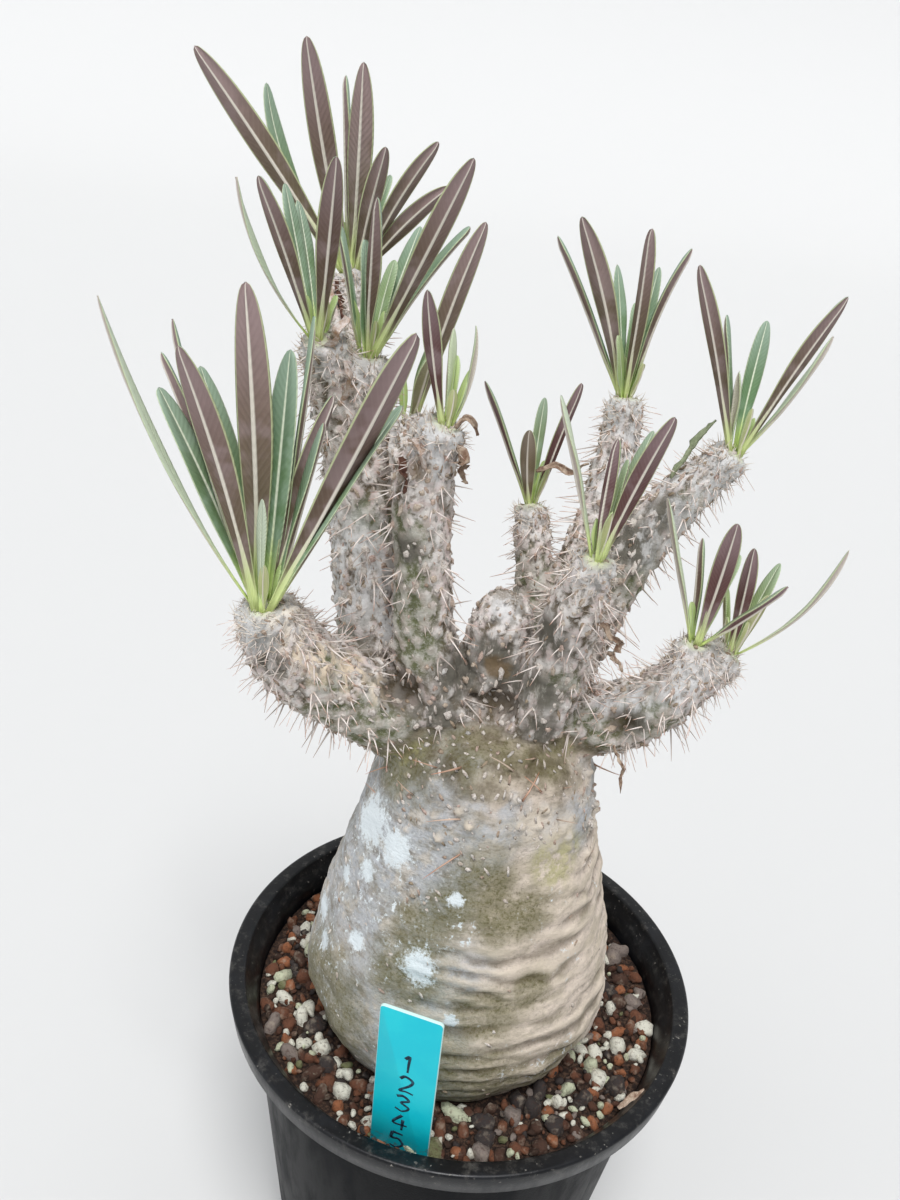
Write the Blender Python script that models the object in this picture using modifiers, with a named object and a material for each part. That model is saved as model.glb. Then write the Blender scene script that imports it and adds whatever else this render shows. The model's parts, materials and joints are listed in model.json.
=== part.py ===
"""Potted pachypodium gracilius.

A swollen caudex with nine spiny arms stands in the gritty soil of a black nursery pot. Each living arm
carries a tuft of strap leaves, and a bare plastic plant label is pushed into the soil by the front rim.
The pot's axis is Z, its base rests on Z = 0, and the side with the label faces -Y. Units are metres.
"""

import math
import random

import bmesh
import bpy
from mathutils import Matrix, Vector
from mathutils.bvhtree import BVHTree

MM = 0.001
CLEARANCE = 0.3 * MM
MERGE_DISTANCE = 0.01 * MM

# Nursery pot
POT_HEIGHT = 100 * MM
LIP_RADIUS = 60 * MM
LIP_WIDTH = 3.8 * MM
LIP_SKIRT = 7 * MM
LIP_EDGE = 0.7 * MM
LIP_THICKNESS = 1.1 * MM
LIP_TOP_THICKNESS = 1.7 * MM
LIP_NECK_RISE = 3.6 * MM
SKIRT_TAPER = 1 * MM
FOOT_EDGE = 1 * MM
WALL_TOP_RADIUS = 53.6 * MM
WALL_BASE_RADIUS = 42.5 * MM
WALL_THICKNESS = 1.2 * MM
FLOOR_THICKNESS = 2 * MM
POT_STEPS = 48
DRAIN_HOLES = 6
DRAIN_HOLE_RADIUS = 4 * MM
DRAIN_CIRCLE_RADIUS = 29 * MM
DRAIN_HOLE_SIDES = 12

# Soil
SOIL_TOP = 92.5 * MM
GRAIN_RADII = (3.2 * MM, 2.6 * MM, 2.1 * MM)
GRAIN_TRIES = 2500
GRAIN_GAP = 0.1 * MM
GRAIN_WALL_GAP = 0.6 * MM
GRAIN_CAUDEX_GAP = 0.5 * MM
GRAIN_LABEL_GAP = 1 * MM
GRAIN_SIZE_SPREAD = (0.92, 1.08)
GRAIN_LIFT = (-0.35, 0.15)
GRAIN_SQUASH_Y = (0.85, 1)
GRAIN_SQUASH_Z = (0.75, 0.95)
GRAIN_SEED = 7

# Caudex: (radius, height) of its turned body, in millimetres, from the root end up to the shoulder
CAUDEX_AXIS = Vector((-1.6 * MM, -3.2 * MM, 0))
CAUDEX_PROFILE = [
    (0, 75), (16, 76), (24, 80), (29, 87), (32.5, 93), (36, 100), (38, 107), (37.6, 114), (36.2, 121),
    (33.3, 135), (29.5, 150), (26.6, 162), (25, 170), (21.5, 178), (13, 184), (0, 186),
]
CAUDEX_STEPS = 40
SOIL_POCKET_GAP = 0.8 * MM
SOIL_POCKET_STEPS = 24
SOIL_POCKET_RISE = 10 * MM
SKIN_VOXEL = 1.3 * MM
SKIN_SMOOTHING = 5
SKIN_TRIANGLES = 2500
SEAT_GROWTH = 1.15
SEAT_MARGIN = 0.5 * MM
SEAT_HEIGHT = 9 * MM
SEAT_SIDES = 16

# Arms: (x, y, z, radius) along each one, in millimetres, from inside the shoulder to the growing tip
ARMS = {
    "left_arm": [
        (-8, -4, 168, 11), (-20, -6, 179, 10), (-32, -10, 188, 9), (-41, -15, 195, 8.2),
        (-47, -19, 203, 7.8), (-51, -23, 214, 6.2)],
    "top_left": [
        (-12, -2, 170, 10), (-24, -1, 182, 9), (-30, 0, 196, 7.6), (-33, 2, 213, 7.4),
        (-36, 4, 234, 7.2), (-41, 3, 249, 6), (-46, -2, 263, 4.2)],
    "top_middle": [(-37, 4, 236, 6), (-38, 3, 249, 5.2), (-36.7, 3, 259.5, 4.2)],
    "top_back": [(-36, 5, 232, 6), (-40, 12, 248, 5.6), (-42, 20, 259, 5), (-43.4, 26, 269.5, 4.2)],
    "middle_front": [
        (-8, -4, 172, 10), (-15, -6, 187, 8.5), (-19, -8, 202, 6.4), (-21, -9, 220, 5.4),
        (-22.5, -9, 237, 5.4), (-21, -11, 247, 4.4), (-19.3, -12, 252.5, 3.7)],
    "middle_back": [(-22, -9, 234, 5), (-25, -4, 241, 4.4), (-27.5, 3, 246.5, 3.7)],
    "stump": [(-3, -4, 178, 9), (-3, -4, 196, 7.6), (-4, -5, 206, 6.6), (-4, -6, 211, 5)],
    "short_back": [(4, 4, 178, 8), (6, 9, 200, 7), (4, 13, 211, 5), (1, 18, 225.5, 3.3)],
    "front_right": [
        (4, -6, 178, 9), (8, -9, 193, 8.6), (10, -12, 206, 7.2), (11, -17, 220, 6.4),
        (12.4, -22, 233, 4.7)],
    "far_right": [
        (8, 2, 180, 8), (14, 4, 200, 7.6), (21, 8, 215, 6.8), (31, 11, 232, 6),
        (41.5, 11, 245.5, 4.7)],
    "upper_right": [
        (8, 6, 185, 8), (13, 11, 208, 6.6), (17, 18, 222, 5.8), (19, 24, 237, 5.2),
        (18.8, 27, 249.5, 4.2)],
    "low_right_left": [
        (4, -2, 172, 11), (14, -2, 181, 9.6), (21, -4, 184.5, 7.8), (29, -8, 191, 6.6),
        (36, -12, 202, 5.6), (36.9, -13, 212.5, 3.6)],
    "low_right_right": [(33, -10, 198, 5.6), (40, -12, 205, 4.8), (44.7, -12, 210.5, 3.6)],
}
ARM_SAMPLES = 6
BARE_ARMS = ("stump",)

# Spines
SPINE_LENGTH = (4 * MM, 7 * MM)
SPINE_RADIUS = 0.55 * MM
SPINE_POINT_RADIUS = 0.08 * MM
SPINE_SPACING = 1.9 * MM
SPINE_ROOT_DEPTH = 1.2 * MM
SPINE_BARE_START = 0.25
SPINE_TIP_MARGIN = 3 * MM
SPINE_LEAF_MARGIN = 1.1 * MM
SPINE_DROOP = 0.35
SPINE_BACKWARD = 0.15
SPINE_LEAST_FACING = 0.3
SPINE_REACH = 1.35
SPINE_SEED = 11
GOLDEN_ANGLE = math.pi * (3 - math.sqrt(5))

# Leaves: (heading, lean, length, width, curl, twist) for each one. The heading is the compass angle
# from +X towards +Y, the lean is from straight up, the curl is how far the blade bends over along its
# length and the twist turns it about its own rib, all in degrees. Lengths are in millimetres.
LEAVES = {
    "left_arm": [
        (190, 27, 65, 6.5, 12, 25), (160, 32, 45, 6.5, 14, -10), (150, 32, 52, 6.5, 10, 70),
        (220, 19, 57, 6.5, 12, 35), (135, 30, 47, 6.5, 8, 10), (140, 40, 56, 5, 18, 75),
        (145, 6, 62, 6.5, 6, 120), (75, 10, 49, 6.5, 4, -10), (265, 7, 26, 4.5, 0, -40),
        (15, 17, 39, 5.5, 0, -5), (45, 20, 44, 6, 6, -80), (325, 28, 71, 6.5, 6, -25),
        (340, 30, 53, 6.5, 8, 35)],
    "top_left": [
        (195, 30, 32, 5, 18, 10), (230, 28, 33, 5, 14, 15), (140, 25, 28, 4, 6, 0),
        (285, 17, 36, 5, 4, 10), (145, 60, 28, 4.5, 10, -15)],
    "top_middle": [
        (165, 18, 24, 4.5, 0, 15), (275, 18, 33, 5, 4, -60), (255, 10, 24, 4, 0, -100),
        (55, 15, 19, 4, 4, -5), (55, 28, 26, 4, 8, 5), (320, 29, 46, 5, 8, -30),
        (355, 35, 32, 5, 12, 10)],
    "top_back": [
        (190, 40, 50, 6.5, 10, 75), (220, 17, 46, 6, 4, 45), (130, 12, 38, 5.5, 4, 50),
        (270, 6, 40, 5.5, 4, -10), (90, 18, 32, 5.5, 4, -50), (300, 24, 29, 4.5, 4, -10),
        (55, 27, 21, 4, 4, -15), (345, 30, 32, 5.5, 10, -35), (355, 44, 27, 4.5, 14, -70),
        (150, 40, 35, 5.5, 6, -20)],
    "middle_back": [(350, 16, 43, 5, 6, -65), (295, 22, 18, 4, 0, 30), (70, 33, 28, 4, 6, -15)],
    "middle_front": [
        (235, 20, 28, 3.5, 6, 25), (100, 14, 17, 3, 4, 40), (80, 11, 11, 3, 0, -45),
        (0, 10, 18, 3, 24, -35)],
    "short_back": [
        (190, 27, 30, 3.2, 8, 35), (240, 20, 20, 3.2, 0, 10), (90, 13, 23, 2.6, 4, 20),
        (335, 14, 31, 3.2, 8, -40)],
    "front_right": [
        (180, 22, 33, 4.2, 14, -5), (260, 13, 26, 3.2, 4, -45), (45, 8, 20, 3.2, 4, -30),
        (45, 25, 27, 3.2, 8, 0), (0, 16, 30, 4.2, 8, -45), (305, 21, 34, 4.2, 6, -20)],
    "upper_right": [
        (170, 34, 38, 4.4, 8, 5), (200, 25, 42, 4.6, 8, 55), (125, 21, 28, 3.4, 4, -5),
        (220, 18, 16, 3.2, 0, -70), (95, 17, 21, 3.4, 4, 25), (255, 13, 38, 4.4, 4, -40),
        (65, 14, 28, 3.4, 6, -5), (0, 15, 34, 4.4, 18, -35)],
    "far_right": [
        (205, 27, 43, 4.4, 6, 30), (155, 19, 28, 4, 4, 10), (180, 12, 18, 3.2, 0, 20),
        (75, 17, 28, 3.4, 8, 20), (330, 23, 39, 4.4, 8, -40), (10, 31, 29, 4.2, 14, -20)],
    "low_right_left": [
        (180, 22, 32, 4.2, 10, -10), (115, 18, 21, 3.2, 4, 90), (275, 15, 30, 4.2, 6, 10),
        (40, 24, 19, 3.2, 8, -20), (320, 42, 23, 4, 8, -10)],
    "low_right_right": [
        (245, 12, 26, 3.2, 4, -10), (35, 25, 21, 3, 10, 0), (0, 14, 15, 3, 6, -65),
        (130, 16, 14, 3.5, 0, 30), (345, 31, 32, 4, 20, -25)],
}
LEAF_SEGMENTS = 5
SHORT_LEAF = 30
SHORT_LEAF_SEGMENTS = 4
LEAF_THICKNESS = 0.7 * MM
LEAF_FOLD = 0.3
LEAF_BASE_SHARE = 0.32
LEAF_WIDEST = 0.62
LEAF_TIP_POWER = 2.2
LEAF_POINT = 0.05 * MM
LEAF_RING = 0.32
LEAF_RISE = 0.6 * MM
CROWN_SIDES = 8
CROWN_HEIGHT = 2.6 * MM
CROWN_SINK = 1.2 * MM
CROWN_FOOT = 0.75
CROWN_TOP = 0.5

# Plant label
LABEL_WIDTH = 14 * MM
LABEL_HEIGHT = 62 * MM
LABEL_POINT = 8 * MM
LABEL_THICKNESS = 0.8 * MM
LABEL_CORNER = 1.2 * MM
LABEL_FOOT = Vector((-10.8 * MM, -47.8 * MM, 77 * MM))
LABEL_YAW = math.radians(-15)
LABEL_LEAN = math.radians(4)


def clear_scene():
    """Remove every object of the file that the script runs in."""
    for obj in list(bpy.data.objects):
        bpy.data.objects.remove(obj, do_unlink=True)


def new_collection(name):
    """Make a collection in the scene."""
    collection = bpy.data.collections.new(name)
    bpy.context.scene.collection.children.link(collection)
    return collection


def finish(name, colour, roughness):
    """Make a Principled material with one colour."""
    material = bpy.data.materials.new(name)
    material.use_nodes = True
    shader = material.node_tree.nodes["Principled BSDF"]
    shader.inputs["Base Color"].default_value = (*colour, 1)
    shader.inputs["Roughness"].default_value = roughness
    shader.inputs["Metallic"].default_value = 0
    return material


def link_mesh(name, mesh, collection, material=None):
    """Put a mesh in the scene as an object of the collection."""
    obj = bpy.data.objects.new(name, mesh)
    collection.objects.link(obj)
    if material:
        mesh.materials.clear()
        mesh.materials.append(material)
    return obj


def remove_object(obj):
    """Remove an object and the mesh that it leaves unused."""
    mesh = obj.data
    bpy.data.objects.remove(obj, do_unlink=True)
    if mesh.users == 0:
        bpy.data.meshes.remove(mesh)


def apply_modifiers(obj):
    """Replace the object's mesh by its evaluated one."""
    bpy.context.view_layer.update()
    mesh = bpy.data.meshes.new_from_object(obj.evaluated_get(bpy.context.evaluated_depsgraph_get()))
    old = obj.data
    obj.modifiers.clear()
    obj.data = mesh
    bpy.data.meshes.remove(old)


def turned(name, profile, steps, collection, material=None, axis=Vector((0, 0, 0))):
    """Turn a profile of (radius, height) points, from the axis round to the axis, into a solid."""
    mesh = bpy.data.meshes.new(name)
    points = [(radius, 0, height) for radius, height in profile]
    mesh.from_pydata(points, [(i, i + 1) for i in range(len(points) - 1)], [])
    obj = link_mesh(name, mesh, collection, material)
    obj.location = axis
    screw = obj.modifiers.new("Turn", "SCREW")
    screw.steps = steps
    screw.render_steps = steps
    screw.use_smooth_shade = False
    screw.use_merge_vertices = True
    screw.merge_threshold = MERGE_DISTANCE
    return obj


def boolean(obj, operation, operand, solver="EXACT"):
    """Add a Boolean modifier that takes an object or a whole collection."""
    modifier = obj.modifiers.new(operation.title(), "BOOLEAN")
    modifier.operation = operation
    modifier.solver = solver
    if isinstance(operand, bpy.types.Collection):
        modifier.operand_type = "COLLECTION"
        modifier.collection = operand
    else:
        modifier.object = operand
    return modifier


def fuse(obj, collection, solver="EXACT"):
    """Join every object of the collection to the object in one solid, and remove them."""
    boolean(obj, "UNION", collection, solver)
    apply_modifiers(obj)
    for part in list(collection.objects):
        remove_object(part)
    bpy.data.collections.remove(collection)


def cut(obj, cutters):
    """Cut the object with each cutter in turn."""
    for cutter in cutters:
        boolean(obj, "DIFFERENCE", cutter)
    apply_modifiers(obj)


def drop_scraps(obj):
    """Keep the object's largest connected body and delete loose scraps that a cut left."""
    solid = bmesh.new()
    solid.from_mesh(obj.data)
    waiting = set(solid.verts)
    bodies = []
    while waiting:
        front = [waiting.pop()]
        body = []
        while front:
            vertex = front.pop()
            body.append(vertex)
            near = {edge.other_vert(vertex) for edge in vertex.link_edges} & waiting
            waiting -= near
            front += near
        bodies.append(body)
    bodies.sort(key=len)
    for body in bodies[:-1]:
        bmesh.ops.delete(solid, geom=body, context="VERTS")
    solid.to_mesh(obj.data)
    solid.free()


def as_cutter(obj):
    """Mark an object as a guide that isn't part of the model."""
    obj.hide_render = True
    obj.display_type = "WIRE"
    return obj


def cylinder(name, radius, low, high, sides, collection):
    """A cylinder on the Z axis between two heights."""
    mesh = bpy.data.meshes.new(name)
    solid = bmesh.new()
    bmesh.ops.create_cone(
        solid, cap_ends=True, segments=sides, radius1=radius, radius2=radius, depth=high - low,
        matrix=Matrix.Translation((0, 0, (low + high) / 2)))
    solid.to_mesh(mesh)
    solid.free()
    return link_mesh(name, mesh, collection)


def upright_frame(direction):
    """A rotation whose Z runs along the direction."""
    return direction.to_track_quat("Z", "Y").to_matrix().to_4x4()


def wall_radius(height):
    """Outer radius of the pot's wall at a height."""
    share = height / (POT_HEIGHT - LIP_SKIRT)
    return WALL_BASE_RADIUS + (WALL_TOP_RADIUS - WALL_BASE_RADIUS) * share


def pot_profile():
    """Section of the pot: the inside up, over the lip, and the outside down."""
    neck = POT_HEIGHT - LIP_SKIRT
    lip_inner = LIP_RADIUS - LIP_WIDTH
    skirt_low = LIP_RADIUS - SKIRT_TAPER
    under_lip = POT_HEIGHT - LIP_TOP_THICKNESS
    return [
        (0, FLOOR_THICKNESS),
        (wall_radius(FLOOR_THICKNESS) - WALL_THICKNESS, FLOOR_THICKNESS),
        (WALL_TOP_RADIUS - WALL_THICKNESS, neck),
        (WALL_TOP_RADIUS, neck + LIP_NECK_RISE),
        (lip_inner - LIP_EDGE, POT_HEIGHT - LIP_EDGE),
        (lip_inner, POT_HEIGHT),
        (LIP_RADIUS - LIP_EDGE, POT_HEIGHT),
        (LIP_RADIUS, POT_HEIGHT - LIP_EDGE),
        (skirt_low, neck),
        (skirt_low - LIP_THICKNESS, neck),
        (LIP_RADIUS - LIP_THICKNESS - LIP_EDGE, under_lip),
        (lip_inner, under_lip),
        (WALL_TOP_RADIUS + WALL_THICKNESS, neck + LIP_NECK_RISE - LIP_EDGE),
        (WALL_TOP_RADIUS, neck),
        (WALL_BASE_RADIUS, FOOT_EDGE),
        (WALL_BASE_RADIUS - FOOT_EDGE, 0),
        (0, 0),
    ]


def make_pot(collection, cutters, material):
    """The black nursery pot with a turned-down lip and a ring of drain holes."""
    pot = turned("pot", pot_profile(), POT_STEPS, collection, material)
    apply_modifiers(pot)
    holes = []
    top = FLOOR_THICKNESS + MM
    for index in range(DRAIN_HOLES):
        angle = 2 * math.pi * (index + 0.5) / DRAIN_HOLES
        hole = cylinder(f"drain_hole_{index + 1}", DRAIN_HOLE_RADIUS, -MM, top, DRAIN_HOLE_SIDES, cutters)
        hole.location = (DRAIN_CIRCLE_RADIUS * math.cos(angle), DRAIN_CIRCLE_RADIUS * math.sin(angle), 0)
        holes.append(as_cutter(hole))
    cut(pot, holes)
    return pot


def caudex_radius(height):
    """Radius of the caudex's turned body at a height in metres."""
    for (r0, z0), (r1, z1) in zip(CAUDEX_PROFILE, CAUDEX_PROFILE[1:]):
        if z0 * MM <= height <= z1 * MM:
            return (r0 + (r1 - r0) * (height / MM - z0) / (z1 - z0)) * MM
    return 0


def soil_profile():
    """Section of the soil, which fills the pot up to a few millimetres below its rim."""
    low = FLOOR_THICKNESS + CLEARANCE
    gap = WALL_THICKNESS + CLEARANCE
    return [(0, SOIL_TOP), (wall_radius(SOIL_TOP) - gap, SOIL_TOP), (wall_radius(low) - gap, low), (0, low)]


def label_matrix():
    """Place of the label: its foot in the soil, turned a little and leaning towards the front."""
    turn = Matrix.Rotation(LABEL_YAW, 4, "Z") @ Matrix.Rotation(LABEL_LEAN, 4, "X")
    return Matrix.Translation(LABEL_FOOT) @ turn


def grain_places(rng):
    """Centres and radii of the grains: large ones first, then smaller ones between them, none touching."""
    places = []
    label = label_matrix().inverted()
    outer = wall_radius(SOIL_TOP) - WALL_THICKNESS - GRAIN_WALL_GAP
    for attempt in range(GRAIN_TRIES * len(GRAIN_RADII)):
        radius = GRAIN_RADII[attempt // GRAIN_TRIES] * rng.uniform(*GRAIN_SIZE_SPREAD)
        reach = outer - radius
        x, y = rng.uniform(-reach, reach), rng.uniform(-reach, reach)
        centre = Vector((x, y, SOIL_TOP + rng.uniform(*GRAIN_LIFT) * radius))
        bulge = caudex_radius(centre.z + radius) + radius + GRAIN_CAUDEX_GAP
        if math.hypot(x, y) > reach or math.hypot(x - CAUDEX_AXIS.x, y - CAUDEX_AXIS.y) < bulge:
            continue
        local = label @ centre
        clear = radius + GRAIN_LABEL_GAP
        if abs(local.x) < LABEL_WIDTH / 2 + clear and abs(local.y) < clear:
            continue
        if all((centre - other).length > radius + size + GRAIN_GAP for other, size in places):
            places.append((centre, radius))
    return places


def make_grain(index, centre, radius, rng, collection):
    """One angular grain, a squashed and turned twenty-sided solid."""
    mesh = bpy.data.meshes.new(f"grain_{index}")
    solid = bmesh.new()
    bmesh.ops.create_icosphere(solid, subdivisions=1, radius=radius)
    full = 2 * math.pi
    turn = Matrix.Rotation(rng.uniform(0, full), 4, "Z") @ Matrix.Rotation(rng.uniform(0, full), 4, "X")
    shape = Matrix.Diagonal((1, rng.uniform(*GRAIN_SQUASH_Y), rng.uniform(*GRAIN_SQUASH_Z), 1))
    bmesh.ops.transform(solid, matrix=Matrix.Translation(centre) @ turn @ shape, verts=solid.verts)
    solid.to_mesh(mesh)
    solid.free()
    return link_mesh(mesh.name, mesh, collection)


def make_soil(collection, cutters, material):
    """Soil with grains standing out of its surface, a plain hole for the caudex and a slot for the label."""
    soil = turned("soil", soil_profile(), POT_STEPS, collection, material)
    apply_modifiers(soil)
    rng = random.Random(GRAIN_SEED)
    grains = new_collection("grains")
    for index, (centre, radius) in enumerate(grain_places(rng)):
        make_grain(index, centre, radius, rng, grains)
    fuse(soil, grains)
    gap = SOIL_POCKET_GAP
    top = SOIL_TOP + SOIL_POCKET_RISE
    profile = [(r * MM + gap, z * MM - gap) for r, z in CAUDEX_PROFILE if z * MM < top]
    profile = [(0, profile[-1][1])] + profile[:0:-1] + [(0, profile[0][1])]
    pocket = turned("caudex_hole", profile, SOIL_POCKET_STEPS, cutters, axis=CAUDEX_AXIS)
    slot = plate("label_slot", cutters, CLEARANCE)
    cut(soil, [as_cutter(pocket), as_cutter(slot)])
    return soil


def catmull(a, b, c, d, t):
    """Point between b and c on the smooth curve through four points."""
    return 0.5 * (2 * b + (c - a) * t + (2 * a - 5 * b + 4 * c - d) * t * t
                  + (3 * b - a - 3 * c + d) * t * t * t)


def arm_path(name):
    """Smooth samples (place, radius) along an arm, in metres."""
    points = [Vector(point) * MM for point in ARMS[name]]
    points = [2 * points[0] - points[1]] + points + [2 * points[-1] - points[-2]]
    samples = []
    for i in range(1, len(points) - 2):
        for step in range(ARM_SAMPLES):
            samples.append(catmull(*points[i - 1:i + 3], step / ARM_SAMPLES))
    samples.append(points[-2])
    return [(sample.xyz, sample.w) for sample in samples]


def arm_tip(name):
    """The growing tip of an arm: its place, direction and radius."""
    path = arm_path(name)
    (before, _), (end, radius) = path[-ARM_SAMPLES], path[-1]
    return end, (end - before).normalized(), radius


def make_tube(name, path, collection):
    """A round tube along a path of (place, radius) samples, as a mesh with welded caps."""
    curve = bpy.data.curves.new(name, "CURVE")
    curve.dimensions = "3D"
    curve.bevel_depth = 1
    curve.bevel_resolution = 4
    curve.use_fill_caps = True
    spline = curve.splines.new("POLY")
    spline.points.add(len(path) - 1)
    for point, (place, radius) in zip(spline.points, path):
        point.co = (*place, 1)
        point.radius = radius
    guide = bpy.data.objects.new(name, curve)
    collection.objects.link(guide)
    bpy.context.view_layer.update()
    mesh = bpy.data.meshes.new_from_object(guide.evaluated_get(bpy.context.evaluated_depsgraph_get()))
    bpy.data.objects.remove(guide, do_unlink=True)
    solid = bmesh.new()
    solid.from_mesh(mesh)
    bmesh.ops.remove_doubles(solid, verts=solid.verts, dist=MERGE_DISTANCE)
    solid.to_mesh(mesh)
    solid.free()
    return link_mesh(name, mesh, collection)


def spine_cone(root, direction, length, collection):
    """One three-sided spine from its root to its point."""
    mesh = bpy.data.meshes.new("spine")
    solid = bmesh.new()
    place = Matrix.Translation(root) @ upright_frame(direction) @ Matrix.Translation((0, 0, length / 2))
    bmesh.ops.create_cone(
        solid, cap_ends=True, segments=3, radius1=SPINE_RADIUS, radius2=SPINE_POINT_RADIUS,
        depth=length, matrix=place)
    solid.to_mesh(mesh)
    solid.free()
    return link_mesh("spine", mesh, collection)


def grow_spines(name, skin, leaves, rng, collection):
    """Set spines round an arm by the golden angle, with roots in its skin and points clear of the leaves."""
    path = arm_path(name)
    travelled = 0.0
    next_spine = 0.0
    turn = rng.uniform(0, 2 * math.pi)
    total = sum((b - a).length for (a, _), (b, _) in zip(path, path[1:]))
    for (start, radius), (end, _) in zip(path, path[1:]):
        along = (end - start).normalized()
        while next_spine < travelled + (end - start).length:
            centre = start + along * (next_spine - travelled)
            next_spine += SPINE_SPACING
            turn += GOLDEN_ANGLE
            share = next_spine / total
            if share < SPINE_BARE_START or next_spine > total - SPINE_TIP_MARGIN:
                continue
            side = upright_frame(along) @ Vector((math.cos(turn), math.sin(turn), 0))
            hit, normal, _, _ = skin.ray_cast(centre + side * 3 * radius, -side, 6 * radius)
            if hit is None or normal.dot(side) < SPINE_LEAST_FACING:
                continue
            if (hit - centre).length > SPINE_REACH * radius:
                continue
            direction = (normal - Vector((0, 0, SPINE_DROOP)) - along * SPINE_BACKWARD).normalized()
            length = rng.uniform(*SPINE_LENGTH)
            near = min(leaves.find_nearest(hit + direction * length * part)[3] for part in (0.2, 0.6, 1))
            if near > SPINE_LEAF_MARGIN and not skin.ray_cast(hit + direction * MM, direction, length)[0]:
                root = hit - direction * SPINE_ROOT_DEPTH
                spine_cone(root, direction, length + SPINE_ROOT_DEPTH, collection)
        travelled += (end - start).length


def tree_of(objects):
    """A search tree over the meshes of several objects."""
    points, faces = [], []
    for obj in objects:
        offset = len(points)
        points += [obj.matrix_world @ vertex.co for vertex in obj.data.vertices]
        faces += [[offset + index for index in polygon.vertices] for polygon in obj.data.polygons]
    return BVHTree.FromPolygons(points, faces)


def make_caudex(collection, cutters, material, rosettes):
    """The caudex and its arms in one skin, with flat seats for the leaf crowns and fused spines."""
    profile = [(radius * MM, height * MM) for radius, height in reversed(CAUDEX_PROFILE)]
    caudex = turned("caudex", profile, CAUDEX_STEPS, collection, material, CAUDEX_AXIS)
    apply_modifiers(caudex)
    caudex.data.transform(Matrix.Translation(CAUDEX_AXIS))
    caudex.location = (0, 0, 0)
    arms = new_collection("arms")
    for name in ARMS:
        make_tube(name, arm_path(name), arms)
    fuse(caudex, arms)
    remesh = caudex.modifiers.new("Skin", "REMESH")
    remesh.mode = "VOXEL"
    remesh.voxel_size = SKIN_VOXEL
    smooth = caudex.modifiers.new("Smooth", "SMOOTH")
    smooth.factor = 0.5
    smooth.iterations = SKIN_SMOOTHING
    apply_modifiers(caudex)
    thin = caudex.modifiers.new("Thin", "DECIMATE")
    thin.ratio = SKIN_TRIANGLES / (2 * len(caudex.data.polygons))
    thin.use_collapse_triangulate = True
    apply_modifiers(caudex)
    seats = []
    for name in LEAVES:
        tip, direction, radius = arm_tip(name)
        size = radius * SEAT_GROWTH + SEAT_MARGIN
        seat = cylinder(f"{name}_seat", size, 0, SEAT_HEIGHT, SEAT_SIDES, cutters)
        place = tip - direction * (CROWN_SINK + CLEARANCE)
        seat.matrix_world = Matrix.Translation(place) @ upright_frame(direction)
        seats.append(as_cutter(seat))
    cut(caudex, seats)
    drop_scraps(caudex)
    skin = tree_of([caudex])
    leaves = tree_of(rosettes)
    rng = random.Random(SPINE_SEED)
    spines = new_collection("spines")
    for name in ARMS:
        if name not in BARE_ARMS:
            grow_spines(name, skin, leaves, rng, spines)
    fuse(caudex, spines)
    return caudex


def blade_half_width(share, width):
    """Half the width of a strap leaf at a share of its length."""
    rise = min(1.0, share / LEAF_WIDEST)
    rise = LEAF_BASE_SHARE + (1 - LEAF_BASE_SHARE) * rise * rise * (3 - 2 * rise)
    fall = max(0.0, share - LEAF_WIDEST) / (1 - LEAF_WIDEST)
    return width / 2 * rise * math.sqrt(max(0.0, 1 - fall ** LEAF_TIP_POWER))


def make_leaf(name, base, ring, leaf, collection):
    """One strap leaf: a folded open blade, given its thickness by Solidify."""
    heading, lean, length, width, curl, twist = leaf
    outward = Vector((math.cos(math.radians(heading)), math.sin(math.radians(heading)), 0))
    solid = bmesh.new()
    place = base + outward * ring
    rows = []
    segments = LEAF_SEGMENTS if length > SHORT_LEAF else SHORT_LEAF_SEGMENTS
    for index in range(segments + 1):
        share = index / segments
        angle = math.radians(lean + curl * (share - 0.5))
        along = outward * math.sin(angle) + Vector((0, 0, math.cos(angle)))
        under = outward * math.cos(angle) - Vector((0, 0, math.sin(angle)))
        spin = Matrix.Rotation(math.radians(twist), 3, along)
        under = spin @ under
        half = blade_half_width(share, width * MM)
        side = along.cross(under) * half
        lift = -under * half * LEAF_FOLD
        if half > LEAF_POINT:
            rows.append([solid.verts.new(p) for p in (place - side + lift, place, place + side + lift)])
        else:
            rows.append([solid.verts.new(place)])
        place = place + along * length * MM / segments
    for low, high in zip(rows, rows[1:]):
        for i in range(2):
            far_corners = [high[i + 1], high[i]] if len(high) == 3 else high
            solid.faces.new([low[i], low[i + 1], *far_corners])
    bmesh.ops.triangulate(solid, faces=solid.faces)
    bmesh.ops.recalc_face_normals(solid, faces=solid.faces)
    mesh = bpy.data.meshes.new(name)
    solid.to_mesh(mesh)
    solid.free()
    obj = link_mesh(name, mesh, collection)
    thickness = obj.modifiers.new("Thickness", "SOLIDIFY")
    thickness.thickness = LEAF_THICKNESS
    thickness.offset = 0
    apply_modifiers(obj)
    return obj


def make_rosette(name, collection, material):
    """A tuft of leaves with their bases sunk in one small crown."""
    tip, direction, radius = arm_tip(name)
    mesh = bpy.data.meshes.new(f"leaves_{name}")
    solid = bmesh.new()
    middle = tip + direction * (CROWN_HEIGHT / 2 - CROWN_SINK)
    bmesh.ops.create_cone(
        solid, cap_ends=True, segments=CROWN_SIDES, radius1=radius * CROWN_FOOT, radius2=radius * CROWN_TOP,
        depth=CROWN_HEIGHT, matrix=Matrix.Translation(middle) @ upright_frame(direction))
    solid.to_mesh(mesh)
    solid.free()
    rosette = link_mesh(mesh.name, mesh, collection, material)
    blades = new_collection("blades")
    for index, leaf in enumerate(LEAVES[name]):
        make_leaf(f"{name}_{index + 1}", tip + direction * LEAF_RISE, radius * LEAF_RING, leaf, blades)
    fuse(rosette, blades)
    return rosette


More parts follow.
